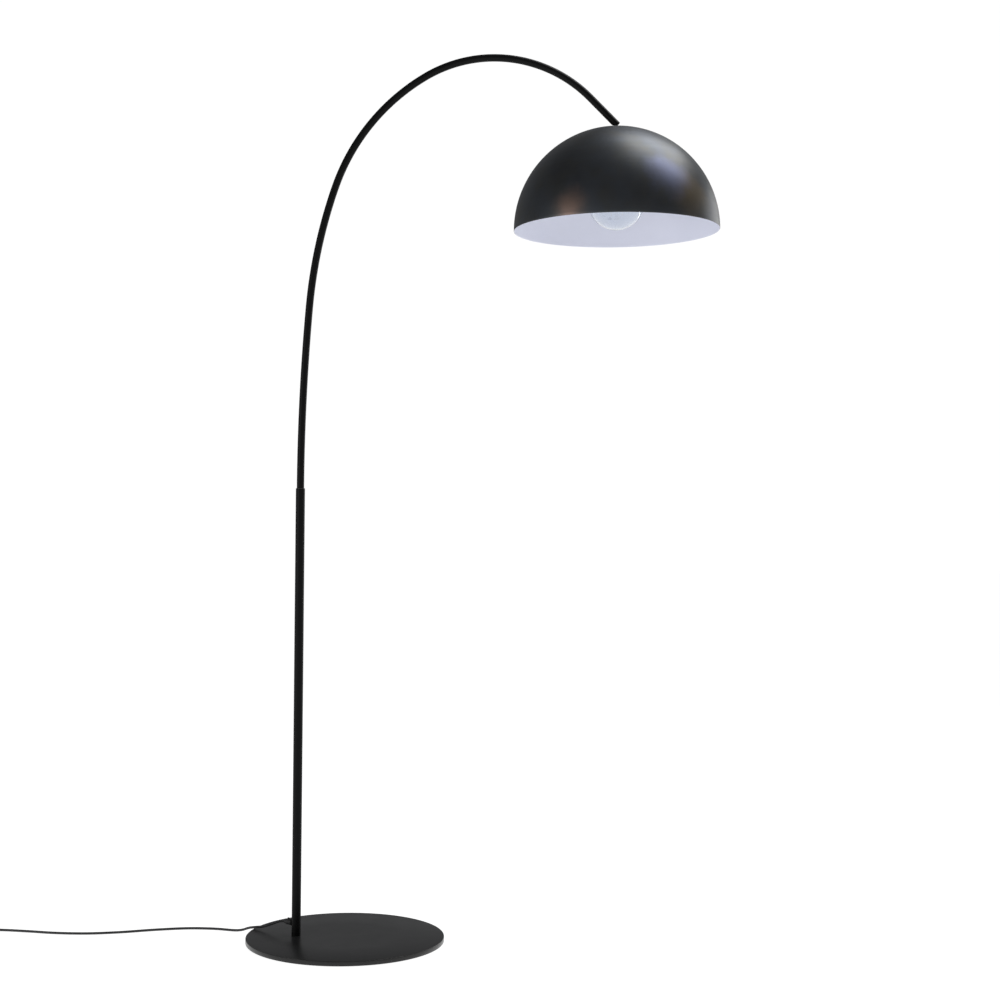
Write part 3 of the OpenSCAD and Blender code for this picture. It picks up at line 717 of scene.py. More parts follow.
class ShapeTree:
    """A Geometry Nodes tree with named inputs that is baked into plain pieces."""

    def __init__(self, name: str, inputs: dict[str, Socket]) -> None:
        """Starts a tree.

        Args:
            name: the tree's name.
            inputs: the named inputs for its sizes.
        """
        self.tree = bpy.data.node_groups.new(name, "GeometryNodeTree")
        self.ids = {}
        for label, kind in inputs.items():
            made = self.tree.interface.new_socket(label, in_out="INPUT", socket_type=kind.value)
            self.ids[label] = made.identifier
        self.tree.interface.new_socket("Shape", in_out="OUTPUT", socket_type="NodeSocketGeometry")
        self.sizes = self.tree.nodes.new("NodeGroupInput")

    def node(self, kind: str, settings: dict | None = None, sockets: dict | None = None,
             out: int | str = 0) -> bpy.types.NodeSocket:
        """Adds a node.

        Args:
            kind: the node's type.
            settings: its own settings, set first.
            sockets: values, sockets to link, or names of the tree's inputs.
            out: which output to return.
        Returns:
            The chosen output.
        """
        made = self.tree.nodes.new(kind)
        for key, value in (settings or {}).items():
            setattr(made, key, value)
        for key, value in (sockets or {}).items():
            if isinstance(value, str) and value in self.ids:
                value = self.sizes.outputs[value]
            if isinstance(value, bpy.types.NodeSocket):
                self.tree.links.new(value, made.inputs[key])
            else:
                made.inputs[key].default_value = value
        return made.outputs[out]

    def close(self, shape: bpy.types.NodeSocket) -> None:
        """Ends the tree in real geometry with a material."""
        real = self.node("GeometryNodeRealizeInstances", None, {0: shape})
        smooth = self.node("GeometryNodeSetShadeSmooth", None, {0: real})
        dressed = self.node("GeometryNodeSetMaterial", None, {"Geometry": smooth})
        self.material = dressed.node.inputs["Material"]
        end = self.tree.nodes.new("NodeGroupOutput")
        self.tree.links.new(dressed, end.inputs[0])

    def bake(self, sizes: dict[str, object], finish: Finish, matrix: Matrix | None = None) -> bpy.types.Mesh:
        """Makes one plain mesh from the tree.

        Args:
            sizes: a value for each named input.
            finish: the finish that the mesh wears.
            matrix: where the shape goes.
        Returns:
            The mesh, with nothing left to evaluate.
        """
        self.material.default_value = finish.material()
        host = bpy.data.objects.new("host", bpy.data.meshes.new("host"))
        bpy.context.scene.collection.objects.link(host)
        nodes = host.modifiers.new("shape", "NODES")
        nodes.node_group = self.tree
        for label, value in sizes.items():
            nodes[self.ids[label]] = value
        bpy.context.view_layer.update()
        graph = bpy.context.evaluated_depsgraph_get()
        made = bpy.data.meshes.new_from_object(host.evaluated_get(graph), depsgraph=graph)
        host.modifiers.clear()
        bpy.data.objects.remove(host)
        if matrix is not None:
            made.transform(matrix)
        return made


def rib_ring_tree() -> ShapeTree:
    """Upright ribs standing evenly round the Z axis."""
    tree = ShapeTree("rib_ring", {"Count": Socket.COUNT, "Radius": Socket.LENGTH, "Size": Socket.SIZES})
    sockets = {"Vertices": "Count", "Radius": "Radius"}
    points = tree.node("GeometryNodeMeshCircle", {"fill_type": "NONE"}, sockets)
    rib = tree.node("GeometryNodeMeshCube", None, {"Size": "Size"})
    place = tree.node("GeometryNodeInputPosition")
    facing = tree.node("FunctionNodeAlignRotationToVector", {"axis": "X"}, {"Vector": place})
    sockets = {"Points": points, "Instance": rib, "Rotation": facing}
    tree.close(tree.node("GeometryNodeInstanceOnPoints", None, sockets))
    return tree


def hoop_row_tree() -> ShapeTree:
    """Hoops of round wire in a row along Z, each smaller than the one before by a fixed part."""
    names = {"Count": Socket.COUNT, "Radius": Socket.LENGTH, "Wire": Socket.LENGTH, "Pitch": Socket.SIZES,
             "Shrink": Socket.LENGTH}
    tree = ShapeTree("hoop_row", names)
    points = tree.node("GeometryNodeMeshLine", None, {"Count": "Count", "Offset": "Pitch"})
    path = tree.node("GeometryNodeCurvePrimitiveCircle", None, {"Resolution": 48, "Radius": "Radius"})
    wire = tree.node("GeometryNodeCurvePrimitiveCircle", None, {"Resolution": 10, "Radius": "Wire"})
    hoop = tree.node("GeometryNodeCurveToMesh", None, {0: path, 1: wire})
    index = tree.node("GeometryNodeInputIndex")
    less = tree.node("ShaderNodeMath", {"operation": "MULTIPLY"}, {0: index, 1: "Shrink"})
    size = tree.node("ShaderNodeMath", {"operation": "SUBTRACT"}, {0: 1.0, 1: less})
    sizes = tree.node("ShaderNodeCombineXYZ", None, {0: size, 1: size, 2: 1.0})
    sockets = {"Points": points, "Instance": hoop, "Scale": sizes}
    tree.close(tree.node("GeometryNodeInstanceOnPoints", None, sockets))
    return tree


def coiled_wire_tree() -> ShapeTree:
    """Round wire wound up the Z axis, for springs and screw threads."""
    names = {"Turns": Socket.LENGTH, "Radius": Socket.LENGTH, "Rise": Socket.LENGTH, "Wire": Socket.LENGTH}
    tree = ShapeTree("coiled_wire", names)
    sockets = {"Resolution": 32, "Rotations": "Turns", "Start Radius": "Radius", "End Radius": "Radius",
               "Height": "Rise"}
    path = tree.node("GeometryNodeCurveSpiral", None, sockets)
    wire = tree.node("GeometryNodeCurvePrimitiveCircle", None, {"Resolution": 10, "Radius": "Wire"})
    tree.close(tree.node("GeometryNodeCurveToMesh", None, {0: path, 1: wire, "Fill Caps": True}))
    return tree


RIB_RING = rib_ring_tree()
HOOP_ROW = hoop_row_tree()
COILED_WIRE = coiled_wire_tree()


# ---------------------------------------------------------------- studio


@dataclass(frozen=True)
class Softbox:
    """A square lamp of even light, aimed at a point."""

    name: str
    place: tuple[float, float, float]
    aim: tuple[float, float, float]
    side: float
    power: float

    def build(self) -> None:
        """Adds the lamp to the scene."""
        data = bpy.data.lights.new(self.name, "AREA")
        data.shape = "SQUARE"
        data.size = self.side
        data.energy = self.power
        lamp = bpy.data.objects.new(self.name, data)
        bpy.context.scene.collection.objects.link(lamp)
        lamp.location = self.place
        lamp.rotation_euler = (Vector(self.aim) - lamp.location).to_track_quat("-Z", "Y").to_euler()


@dataclass(frozen=True)
class Studio:
    """The plain white floor, the soft lamps and the camera."""

    eye: tuple[float, float, float] = (0.329, -3.6655, 0.9176)
    pitch: float = 90.713
    roll: float = 0.478
    lens: float = 60.43
    floor_side: float = 60.0
    ambient: float = 0.2
    backdrop: float = 1.02
    boxes: tuple[Softbox, ...] = (
        Softbox("softbox_over", (1.8, 0.5, 4.1), (0.58, 0.0, 1.6), 2.0, 75.0),
        Softbox("softbox_left", (-3.2, -2.4, 1.4), (0.4, 0.0, 1.5), 1.6, 30.0),
        Softbox("softbox_back", (4.2, 3.2, 1.9), (0.5, 0.0, 1.6), 3.0, 65.0),
    )

    def build(self) -> None:
        """Makes the camera first, then the lamps, the world and the floor."""
        self._camera()
        for softbox in self.boxes:
            softbox.build()
        self._world()
        self._floor()
        bpy.context.scene.view_settings.view_transform = "Standard"

    def _camera(self) -> None:
        """A long lens a little below the arm, tipped up by less than a degree."""
        data = bpy.data.cameras.new("camera")
        data.lens = self.lens
        camera = bpy.data.objects.new("camera", data)
        bpy.context.scene.collection.objects.link(camera)
        tip = Matrix.Rotation(math.radians(self.pitch), 4, "X")
        roll = Matrix.Rotation(math.radians(self.roll), 4, "Z")
        camera.matrix_world = Matrix.Translation(self.eye) @ tip @ roll
        bpy.context.scene.camera = camera

    def _world(self) -> None:
        """Even grey light for the object against a white ground."""
        world = bpy.data.worlds.new("studio_air")
        world.use_nodes = True
        tree = world.node_tree
        tree.nodes.clear()
        seen = tree.nodes.new("ShaderNodeBackground")
        seen.inputs["Strength"].default_value = self.backdrop
        seen.inputs["Color"].default_value = (1, 1, 1, 1)
        lit = tree.nodes.new("ShaderNodeBackground")
        lit.inputs["Strength"].default_value = self.ambient
        lit.inputs["Color"].default_value = (0.97, 0.98, 1.0, 1)
        ray = tree.nodes.new("ShaderNodeLightPath")
        mix = tree.nodes.new("ShaderNodeMixShader")
        end = tree.nodes.new("ShaderNodeOutputWorld")
        tree.links.new(ray.outputs["Is Camera Ray"], mix.inputs[0])
        tree.links.new(lit.outputs[0], mix.inputs[1])
        tree.links.new(seen.outputs[0], mix.inputs[2])
        tree.links.new(mix.outputs[0], end.inputs[0])
        bpy.context.scene.world = world

    def _floor(self) -> None:
        """A wide white sheet that glows a little, so that it stays white to the horizon."""
        half = self.floor_side / 2
        mesh = bpy.data.meshes.new("floor")
        mesh.from_pydata([(-half, -half, 0), (half, -half, 0), (half, half, 0), (-half, half, 0)], [],
                         [(0, 1, 2, 3)])
        graph = Graph("white_floor")
        mesh.materials.append(graph.finish({
            "Base Color": (0.3, 0.3, 0.3),
            "Roughness": 0.9,
            "Specular IOR Level": 0.1,
            "Emission Color": (1.0, 1.0, 1.0),
            "Emission Strength": 0.95,
        }))
        floor = bpy.data.objects.new("floor", mesh)
        bpy.context.scene.collection.objects.link(floor)


# ---------------------------------------------------------------- the mains cord


Point = tuple[float, float, float]


@dataclass
class MainsCord:
    """The round mains cord: out of the grip to the foot switch, then coiled, and to the plug."""

    diameter: float = 0.0054
    grip_angle: float = 150.0
    grip_reach: float = 0.031
    run: tuple[Point, ...] = (
        (-0.146, 0.0222, 0.0372), (-0.164, 0.032, 0.029), (-0.185, 0.044, 0.020), (-0.203, 0.054, 0.016),
        (-0.219, 0.062, 0.0122), (-0.236, 0.070, 0.0056), (-0.256, 0.078, 0.0028), (-0.300, 0.090, 0.0028),
        (-0.360, 0.092, 0.0028), (-0.430, 0.076, 0.0028), (-0.500, 0.052, 0.0028), (-0.570, 0.038, 0.0028),
        (-0.640, 0.040, 0.0028), (-0.700, 0.052, 0.0028), (-0.745, 0.060, 0.0028), (-0.775, 0.060, 0.004),
        (-0.800, 0.060, 0.007))
    link: tuple[Point, ...] = (
        (-0.870, 0.060, 0.007), (-0.886, 0.060, 0.005), (-0.902, 0.056, 0.0032), (-0.916, 0.044, 0.0028),
        (-0.9224, 0.026, 0.0028))
    tail: tuple[Point, ...] = (
        (-0.885, -0.0273, 0.0082), (-0.868, -0.029, 0.0076), (-0.8535, -0.0365, 0.0071),
        (-0.846, -0.049, 0.0069), (-0.844, -0.0618, 0.00685))
    coil_centre: tuple[float, float] = (-0.885, 0.010)
    coil_wide: float = 0.0378
    coil_small: float = 0.0238
    coil_start: float = 177.0
    turns_in: float = 2.55
    turns_up: float = 0.3
    turns_out: float = 2.408
    layer_rise: float = 0.0053
    floor_gap: float = 0.0028
    steps_per_turn: int = 16
    exit: Point = field(default=None, init=False)
    first: bpy.types.Object = field(default=None, init=False)
    second: bpy.types.Object = field(default=None, init=False)

    def build(self) -> None:
        """Makes both lengths."""
        axis = joint_place("arm_swivel")
        turn = math.radians(self.grip_angle)
        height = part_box("pole_lead")[0][2] + self.diameter / 2
        self.exit = (axis.x + self.grip_reach * math.cos(turn), self.grip_reach * math.sin(turn), height)
        self.first = self._length("mains_cord_to_switch", [self.exit, *self.run], ["cord_to_switch"])
        points = [*self.link, *self._coil(), *self.tail]
        nodes = ["cord_to_coil", "cord_coil", "cord_to_plug"]
        self.second = self._length("mains_cord_to_plug", points, nodes)

    def _coil(self) -> list[Point]:
        """Points of the flat coil: inwards on the floor, up a layer, and outwards again."""
        points = []
        total = self.turns_in + self.turns_up + self.turns_out
        count = round(total * self.steps_per_turn)
        for i in range(count):
            turn = total * i / count
            up = min(max((turn - self.turns_in) / self.turns_up, 0.0), 1.0)
            inward = min(turn / self.turns_in, 1.0)
            outward = max((turn - self.turns_in - self.turns_up) / self.turns_out, 0.0)
            radius = self.coil_wide - (self.coil_wide - self.coil_small) * (inward - outward)
            angle = math.radians(self.coil_start) + FULL * turn
            points.append((self.coil_centre[0] + radius * math.cos(angle),
                           self.coil_centre[1] + radius * math.sin(angle),
                           self.floor_gap + self.layer_rise * up))
        return points

    def _length(self, name: str, points: Sequence[Point], nodes: Sequence[str]) -> bpy.types.Object:
        """One open curve through the points, round and filled at its ends.

        Args:
            name: the piece's name.
            points: the points on its centre line.
            nodes: the CAD nodes that it stands for.
        Returns:
            The piece.
        """
        curve = bpy.data.curves.new(name, "CURVE")
        curve.dimensions = "3D"
        curve.bevel_depth = self.diameter / 2
        curve.bevel_resolution = 5
        curve.resolution_u = 6
        curve.use_fill_caps = True
        spline = curve.splines.new("BEZIER")
        spline.bezier_points.add(len(points) - 1)
        last = len(points) - 1
        for i, knot in enumerate(spline.bezier_points):
            lean = (Vector(points[min(i + 1, last)]) - Vector(points[max(i - 1, 0)])) / 6
            knot.handle_left_type = knot.handle_right_type = "FREE"
            knot.co = points[i]
            knot.handle_left = Vector(points[i]) - lean
            knot.handle_right = Vector(points[i]) + lean
        curve.materials.append(CORD_JACKET.material())
        piece = bpy.data.objects.new(name, curve)
        bpy.context.scene.collection.objects.link(piece)
        return settle(piece, "base", nodes)


# ---------------------------------------------------------------- base, pole and cord grip


@dataclass
class BaseAndPole:
    """The steel disc with its felt, and the pole that stands on it off centre."""

    sides: int = 192
    pole_sides: int = 64
    edge: float = 0.0008
    edge_steps: int = 3
    pocket: float = 0.013
    pocket_web: float = 0.003
    bolt_hole: float = 0.0054
    felt_hole: float = 0.015
    felt_bulge: float = 0.0002
    wall: float = 0.0012
    pole_edge: float = 0.0004
    boss_radius: float = 0.007
    boss_reach: float = 0.0125
    grub_hole: float = 0.00205
    grub_below: float = 0.020
    fit: float = 0.00005

    def build(self) -> None:
        """Makes the disc, the felt, the pole with its boss, and the bush in its mouth."""
        self.axis = joint_place("arm_swivel")
        self._disc()
        self._felt()
        self._pole()
        self._bush()

    def _bore(self, radius: float, low: float, high: float) -> bpy.types.Mesh:
        """A round cutter on the pole's axis."""
        outline = [(0, high), (radius, high), (radius, low), (0, low)]
        return turned(outline, 48, Matrix.Translation((self.axis.x, 0, 0)))

    def _disc(self) -> None:
        """The disc, with an eased upper edge and the bolt's pocket underneath."""
        low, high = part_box("base_plate")
        radius = high[0]
        edge = arc((radius - self.edge, high[2] - self.edge), self.edge, 90, 0, self.edge_steps)
        outline = [(0, high[2]), (radius * 0.5, high[2]), *edge, (radius, low[2] + self.edge / 2),
                   (radius - self.edge / 2, low[2]), (0, low[2])]
        disc = add_piece("base_disc", turned(outline, self.sides), [BASE_PAINT])
        cut(disc, self._bore(self.pocket, low[2] - MM, high[2] - self.pocket_web))
        cut(disc, self._bore(self.bolt_hole, low[2] - MM, high[2] + MM))
        settle(disc, "base", ["base_plate"], sharp=50)

    def _felt(self) -> None:
        """The felt pad with its access hole."""
        low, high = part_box("base_felt")
        radius = high[0]
        outline = [(0, high[2]), (radius, high[2]), (radius + self.felt_bulge, (low[2] + high[2]) / 2),
                   (radius - self.felt_bulge, low[2]), (0, low[2])]
        felt = add_piece("felt_pad", turned(outline, self.sides), [FELT])
        cut(felt, self._bore(self.felt_hole, low[2] - MM, high[2] + MM))
        settle(felt, "base", ["base_felt"], sharp=50)

    def _grub_cutter(self, height: float) -> bpy.types.Mesh:
        """The grub screw's hole, on the +Y side."""
        outline = [(0, 0.02), (self.grub_hole, 0.02), (self.grub_hole, 0), (0, 0)]
        lie = Matrix.Translation((self.axis.x, 0, height)) @ Matrix.Rotation(-math.pi / 2, 4, "X")
        return turned(outline, 32, lie)

    def _pole(self) -> None:
        """The tube with broken edges, its boss for the cord grip and the grub screw's hole."""
        low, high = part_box("lower_pole")
        radius = -low[1]
        edge = self.pole_edge
        outline = [(radius - edge, high[2]), (radius, high[2] - edge), (radius, low[2] + edge),
                   (radius - edge, low[2]), (radius - self.wall, low[2]), (radius - self.wall, high[2])]
        tube = turned(outline, self.pole_sides, Matrix.Translation((self.axis.x, 0, 0)), closed=True)
        boss = turned([(self.boss_radius - edge, self.boss_reach), (self.boss_radius, self.boss_reach - edge),
                       (self.boss_radius, radius), (self.boss_radius + 0.0012, radius - 0.0016),
                       (self.boss_radius - 0.0019, radius - 0.0016),
                       (self.boss_radius - 0.0019, self.boss_reach)], 48, CordGrip.place(), closed=True)
        pole = add_piece("pole_tube", joined([tube, boss]), [POLE_PAINT])
        cut(pole, self._grub_cutter(high[2] - self.grub_below))
        settle(pole, "base", ["lower_pole"], sharp=40)

    def _bush(self) -> None:
        """The nylon bush with its flange, which shows as a thin dark ring on the pole's mouth."""
        low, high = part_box("pole_bush")
        wide, narrow = high[1], -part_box("lower_pole")[0][1] - self.wall - self.fit
        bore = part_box("arm_tube")[1][1] + self.fit
        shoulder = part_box("lower_pole")[1][2]
        edge = 0.0004
        outline = [(bore + edge, high[2]), *arc((wide - edge, high[2] - edge), edge, 90, 0, 3),
                   (wide, shoulder), (narrow, shoulder), (narrow, low[2] + edge), (narrow - edge, low[2]),
                   (bore, low[2]), (bore, high[2] - edge)]
        mesh = turned(outline, self.pole_sides, Matrix.Translation((self.axis.x, 0, 0)), closed=True)
        bush = add_piece("pole_mouth_bush", mesh, [BLACK_NYLON])
        cut(bush, self._grub_cutter(shoulder - self.grub_below))
        settle(bush, "base", ["pole_bush"], sharp=40)


@dataclass
class CordGrip:
    """The screwed cord grip low on the pole, with its clamping screw."""

    body_radius: float = 0.006
    tip_radius: float = 0.004
    bore: float = 0.00275
    start: float = 0.0125
    taper: float = 0.024
    reach: float = 0.031
    ribs: int = 24
    rib: Vector = field(default_factory=lambda: Vector((0.0007, 0.0006, 0.0075)))

    @staticmethod
    def place() -> Matrix:
        """The grip's frame: +Z outwards from the pole's axis at the grip's height."""
        axis = joint_place("arm_swivel")
        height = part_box("pole_lead")[0][2] + MainsCord.diameter / 2
        turn = Matrix.Rotation(math.radians(MainsCord.grip_angle), 4, "Z")
        return Matrix.Translation((axis.x, 0, height)) @ turn @ Matrix.Rotation(math.pi / 2, 4, "Y")

    def build(self) -> list[bpy.types.Object]:
        """Makes the body with its ribbed collar and rounded lip.

        Returns:
            The pieces, in which the cord starts.
        """
        lip = 0.0008
        outline = [(self.bore, self.reach), *arc((self.tip_radius - lip, self.reach - lip), lip, 90, 15, 4),
                   (self.body_radius - 0.0002, self.taper + 0.0006), (self.body_radius, self.taper - 0.0003),
                   (self.body_radius, self.start + 0.0004), (self.body_radius - 0.0004, self.start),
                   (self.bore, self.start)]
        mesh = turned(outline, 56, self.place(), closed=True)
        place = self.place() @ Matrix.Translation((0, 0, self.start + 0.0048))
        sizes = {"Count": self.ribs, "Radius": self.body_radius, "Size": self.rib}
        ribs = RIB_RING.bake(sizes, BLACK_NYLON, place)
        grip = add_piece("cord_grip_body", joined([mesh, ribs]), [BLACK_NYLON])
        settle(grip, "base", ["cord_grip"], sharp=35)
        return [grip]


# ---------------------------------------------------------------- the arm


@dataclass
class ArmTube:
    """The upper tube: a straight stretch in the pole, then four bends, each easier to see than the last."""

    wall: float = 0.0012
    rise: float = 0.004
    radii: tuple[float, ...] = (4.950, 1.100, 0.455, 0.295)
    angles: tuple[float, ...] = (4.54, 14.23, 39.87)
    end_angle: float = 135.0
    end_length: float = 0.0842
    pin_back: float = 0.0047
    notch_length: float = 0.008
    notch_width: float = 0.011
    pin_radius: float = 0.00155
    sides: int = 56
    step: float = 1.5
    stride: float = 0.012
    ease: float = 0.0004

    def build(self) -> None:
        """Sweeps the tube, cuts the notch and the screws' holes at its end, and eases its rims."""
        low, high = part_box("arm_tube")
        radius = high[1]
        mesh = self._sweep(self._path(low[2]), radius, radius - self.wall)
        tube = add_piece("arm_tube_bent", mesh, [POLE_PAINT])
        frame_at_end = Matrix.Translation(joint_place("shade_tilt")) @ Matrix.Rotation(
            math.radians(self.end_angle), 4, "Y")
        half = self.notch_width / 2
        cut(tube, box_mesh((0, -half, self.pin_back - self.notch_length), (2 * radius, half, 2 * radius),
                           frame_at_end))
        across = frame_at_end @ Matrix.Rotation(math.pi / 2, 4, "X")
        outline = [(0, 2 * radius), (self.pin_radius, 2 * radius), (self.pin_radius, -2 * radius),
                   (0, -2 * radius)]
        cut(tube, turned(outline, 24, across))
        settle(tube, "arm", ["arm_tube"], sharp=40)

    def _path(self, foot: float) -> list[tuple[Vector, float]]:
        """The tube's centre line.

        Args:
            foot: the height of its lower end.
        Returns:
            Points in the arm's plane, each with the tube's lean from upright in radians.
        """
        axis = joint_place("arm_swivel")
        spot = Vector((axis.x, 0, axis.z + self.rise))
        stations = [(Vector((axis.x, 0, foot)), 0.0), (Vector((axis.x, 0, axis.z)), 0.0), (spot.copy(), 0.0)]
        lean = 0.0
        last = self.end_angle - sum(self.angles)
        for radius, sweep in zip(self.radii, (*self.angles, last)):
            count = max(2, round(sweep / self.step), round(radius * math.radians(sweep) / self.stride))
            centre = spot + radius * Vector((math.cos(lean), 0, -math.sin(lean)))
            for i in range(1, count + 1):
                now = lean + math.radians(sweep) * i / count
                stations.append((centre - radius * Vector((math.cos(now), 0, -math.sin(now))), now))
            spot, lean = stations[-1][0].copy(), now
        stations.append((spot + self.end_length * Vector((math.sin(lean), 0, math.cos(lean))), lean))
        return stations

    def _sweep(self, path: Sequence[tuple[Vector, float]], outer: float, inner: float) -> bpy.types.Mesh:
        """A hollow tube along the path, with an eased outer rim at each end."""
        ease = self.ease
        ways = [Vector((math.sin(a), 0, math.cos(a))) for _, a in path]
        first, final = path[0], path[-1]
        rows = [(first[0], first[1], inner), (first[0], first[1], outer - ease),
                (first[0] + ease * ways[0], first[1], outer)]
        rows += [(p, a, outer) for p, a in path[1:-1]]
        rows += [(final[0] - ease * ways[-1], final[1], outer), (final[0], final[1], outer - ease),
                 (final[0], final[1], inner)]
        rows += [(p, a, inner) for p, a in reversed(path[1:-1])]
        bm = bmesh.new()
        layer = bm.loops.layers.uv.new("surface")
        rings = []
        for p, a, r in rows:
            side = Vector((math.cos(a), 0, -math.sin(a)))
            turns = [FULL * k / self.sides for k in range(self.sides)]
            rings.append([bm.verts.new(p + r * (math.cos(t) * side + math.sin(t) * Vector((0, 1, 0))))
                          for t in turns])
        run = [0.0]
        for (p, _, r), (q, _, s) in zip(rows, rows[1:] + rows[:1]):
            run.append(run[-1] + math.hypot((q - p).length, s - r))
        for i in range(len(rings)):
            j = (i + 1) % len(rings)
            for k in range(self.sides):
                m = (k + 1) % self.sides
                face = bm.faces.new((rings[i][k], rings[i][m], rings[j][m], rings[j][k]))
                face.smooth = True
                for loop, u, v in zip(face.loops, (k, k + 1, k + 1, k), (i, i, i + 1, i + 1)):
                    loop[layer].uv = (FULL * outer * u / self.sides, run[v])
        return closed_mesh(bm, "sweep")


# ---------------------------------------------------------------- the head


@dataclass
class HeadPart:
    """Anything that hangs from the tilt screws, drawn in the shade's own leaning frame."""

    lean: float = 0.8

    def frame_here(self) -> Matrix:
        """The head's frame: origin on the tilt screws' axis, +Z up the shade's axis."""
        turn = Matrix.Rotation(math.radians(-self.lean), 4, "Y")
        return Matrix.Translation(joint_place("shade_tilt")) @ turn


@dataclass
class ShadeShell(HeadPart):
    """The spun half-sphere: burnished outside, white inside, with a rounded lip."""

    radius: float = 0.225
    sheet: float = 0.0012
    drop: float = 0.0099
    hole: float = 0.00505
    rows: int = 60
    sides: int = 224

    def build(self) -> None:
        """Turns the shell from the hole down the outside, round the lip and up the inside."""
        rim = -(self.drop + self.radius)
        inner = self.radius - self.sheet
        start_out = math.degrees(math.acos(self.hole / self.radius))
        start_in = math.degrees(math.acos(self.hole / inner))
        outside = arc((0, rim), self.radius, start_out, 0, self.rows)
        lip = arc((self.radius - self.sheet / 2, rim), self.sheet / 2, 0, -180, 6)[1:-1]
        inside = arc((0, rim), inner, 0, start_in, self.rows)
        outline = [*outside, *lip, *inside]
        lift = [(r, z + min(0.0006, max(0.0, (rim + 0.001 - z) * 0.6))) for r, z in outline]
        mesh = turned(lift, self.sides, self.frame_here(), closed=True, inside_from=len(outside) + 2)
        shell = add_piece("dome_shade", mesh, [SHADE_OUTSIDE, SHADE_INSIDE])
        settle(shell, "head", ["shade"], sharp=50)


@dataclass
class LampHolder(HeadPart):
    """The lamp holder's casing with grip ribs, and its domed cap."""

    low: float = -0.0868
    split: float = -0.0479
    top: float = -0.0299
    radius: float = 0.020
    wall: float = 0.0016
    neck: float = 0.0075
    bore: float = 0.00505
    ribs: int = 40
    rib: Vector = field(default_factory=lambda: Vector((0.0009, 0.0011, 0.024)))

    def build(self) -> None:
        """Makes the casing and the cap."""
        inner = self.radius - self.wall
        body = self.radius - 0.0005
        edge = 0.0008
        casing = turned([(body, self.split), (body, self.low + 0.004), (self.radius, self.low + 0.0034),
                         *arc((self.radius - edge, self.low + edge), edge, 0, -90, 4), (inner, self.low),
                         (inner, self.split)], 96, self.frame_here(), closed=True)
        place = self.frame_here() @ Matrix.Translation((0, 0, self.low + 0.0185))
        ribs = RIB_RING.bake({"Count": self.ribs, "Radius": body, "Size": self.rib}, HOLDER_SHELL, place)
        shell = add_piece("holder_casing_ribbed", joined([casing, ribs]), [HOLDER_SHELL])
        settle(shell, "head", ["holder_casing"], sharp=35)
        r, w = self.radius, self.wall
        dome = arc((r - 0.005, self.split + 0.003), 0.005, 0, 60, 6)
        cap = turned([(self.bore, self.top), (self.neck - 0.0005, self.top), (self.neck, self.top - 0.0005),
                      (self.neck, self.top - 0.0055), *reversed(dome), (r, self.split), (r - w, self.split),
                      (r - w, self.split + 0.0024), (r - 0.004 - w, self.split + 0.005),
                      (self.bore, self.top - 0.008)], 96, self.frame_here(), closed=True)
        top = add_piece("holder_cap_domed", cap, [HOLDER_SHELL])
        settle(top, "head", ["holder_cap"], sharp=35)


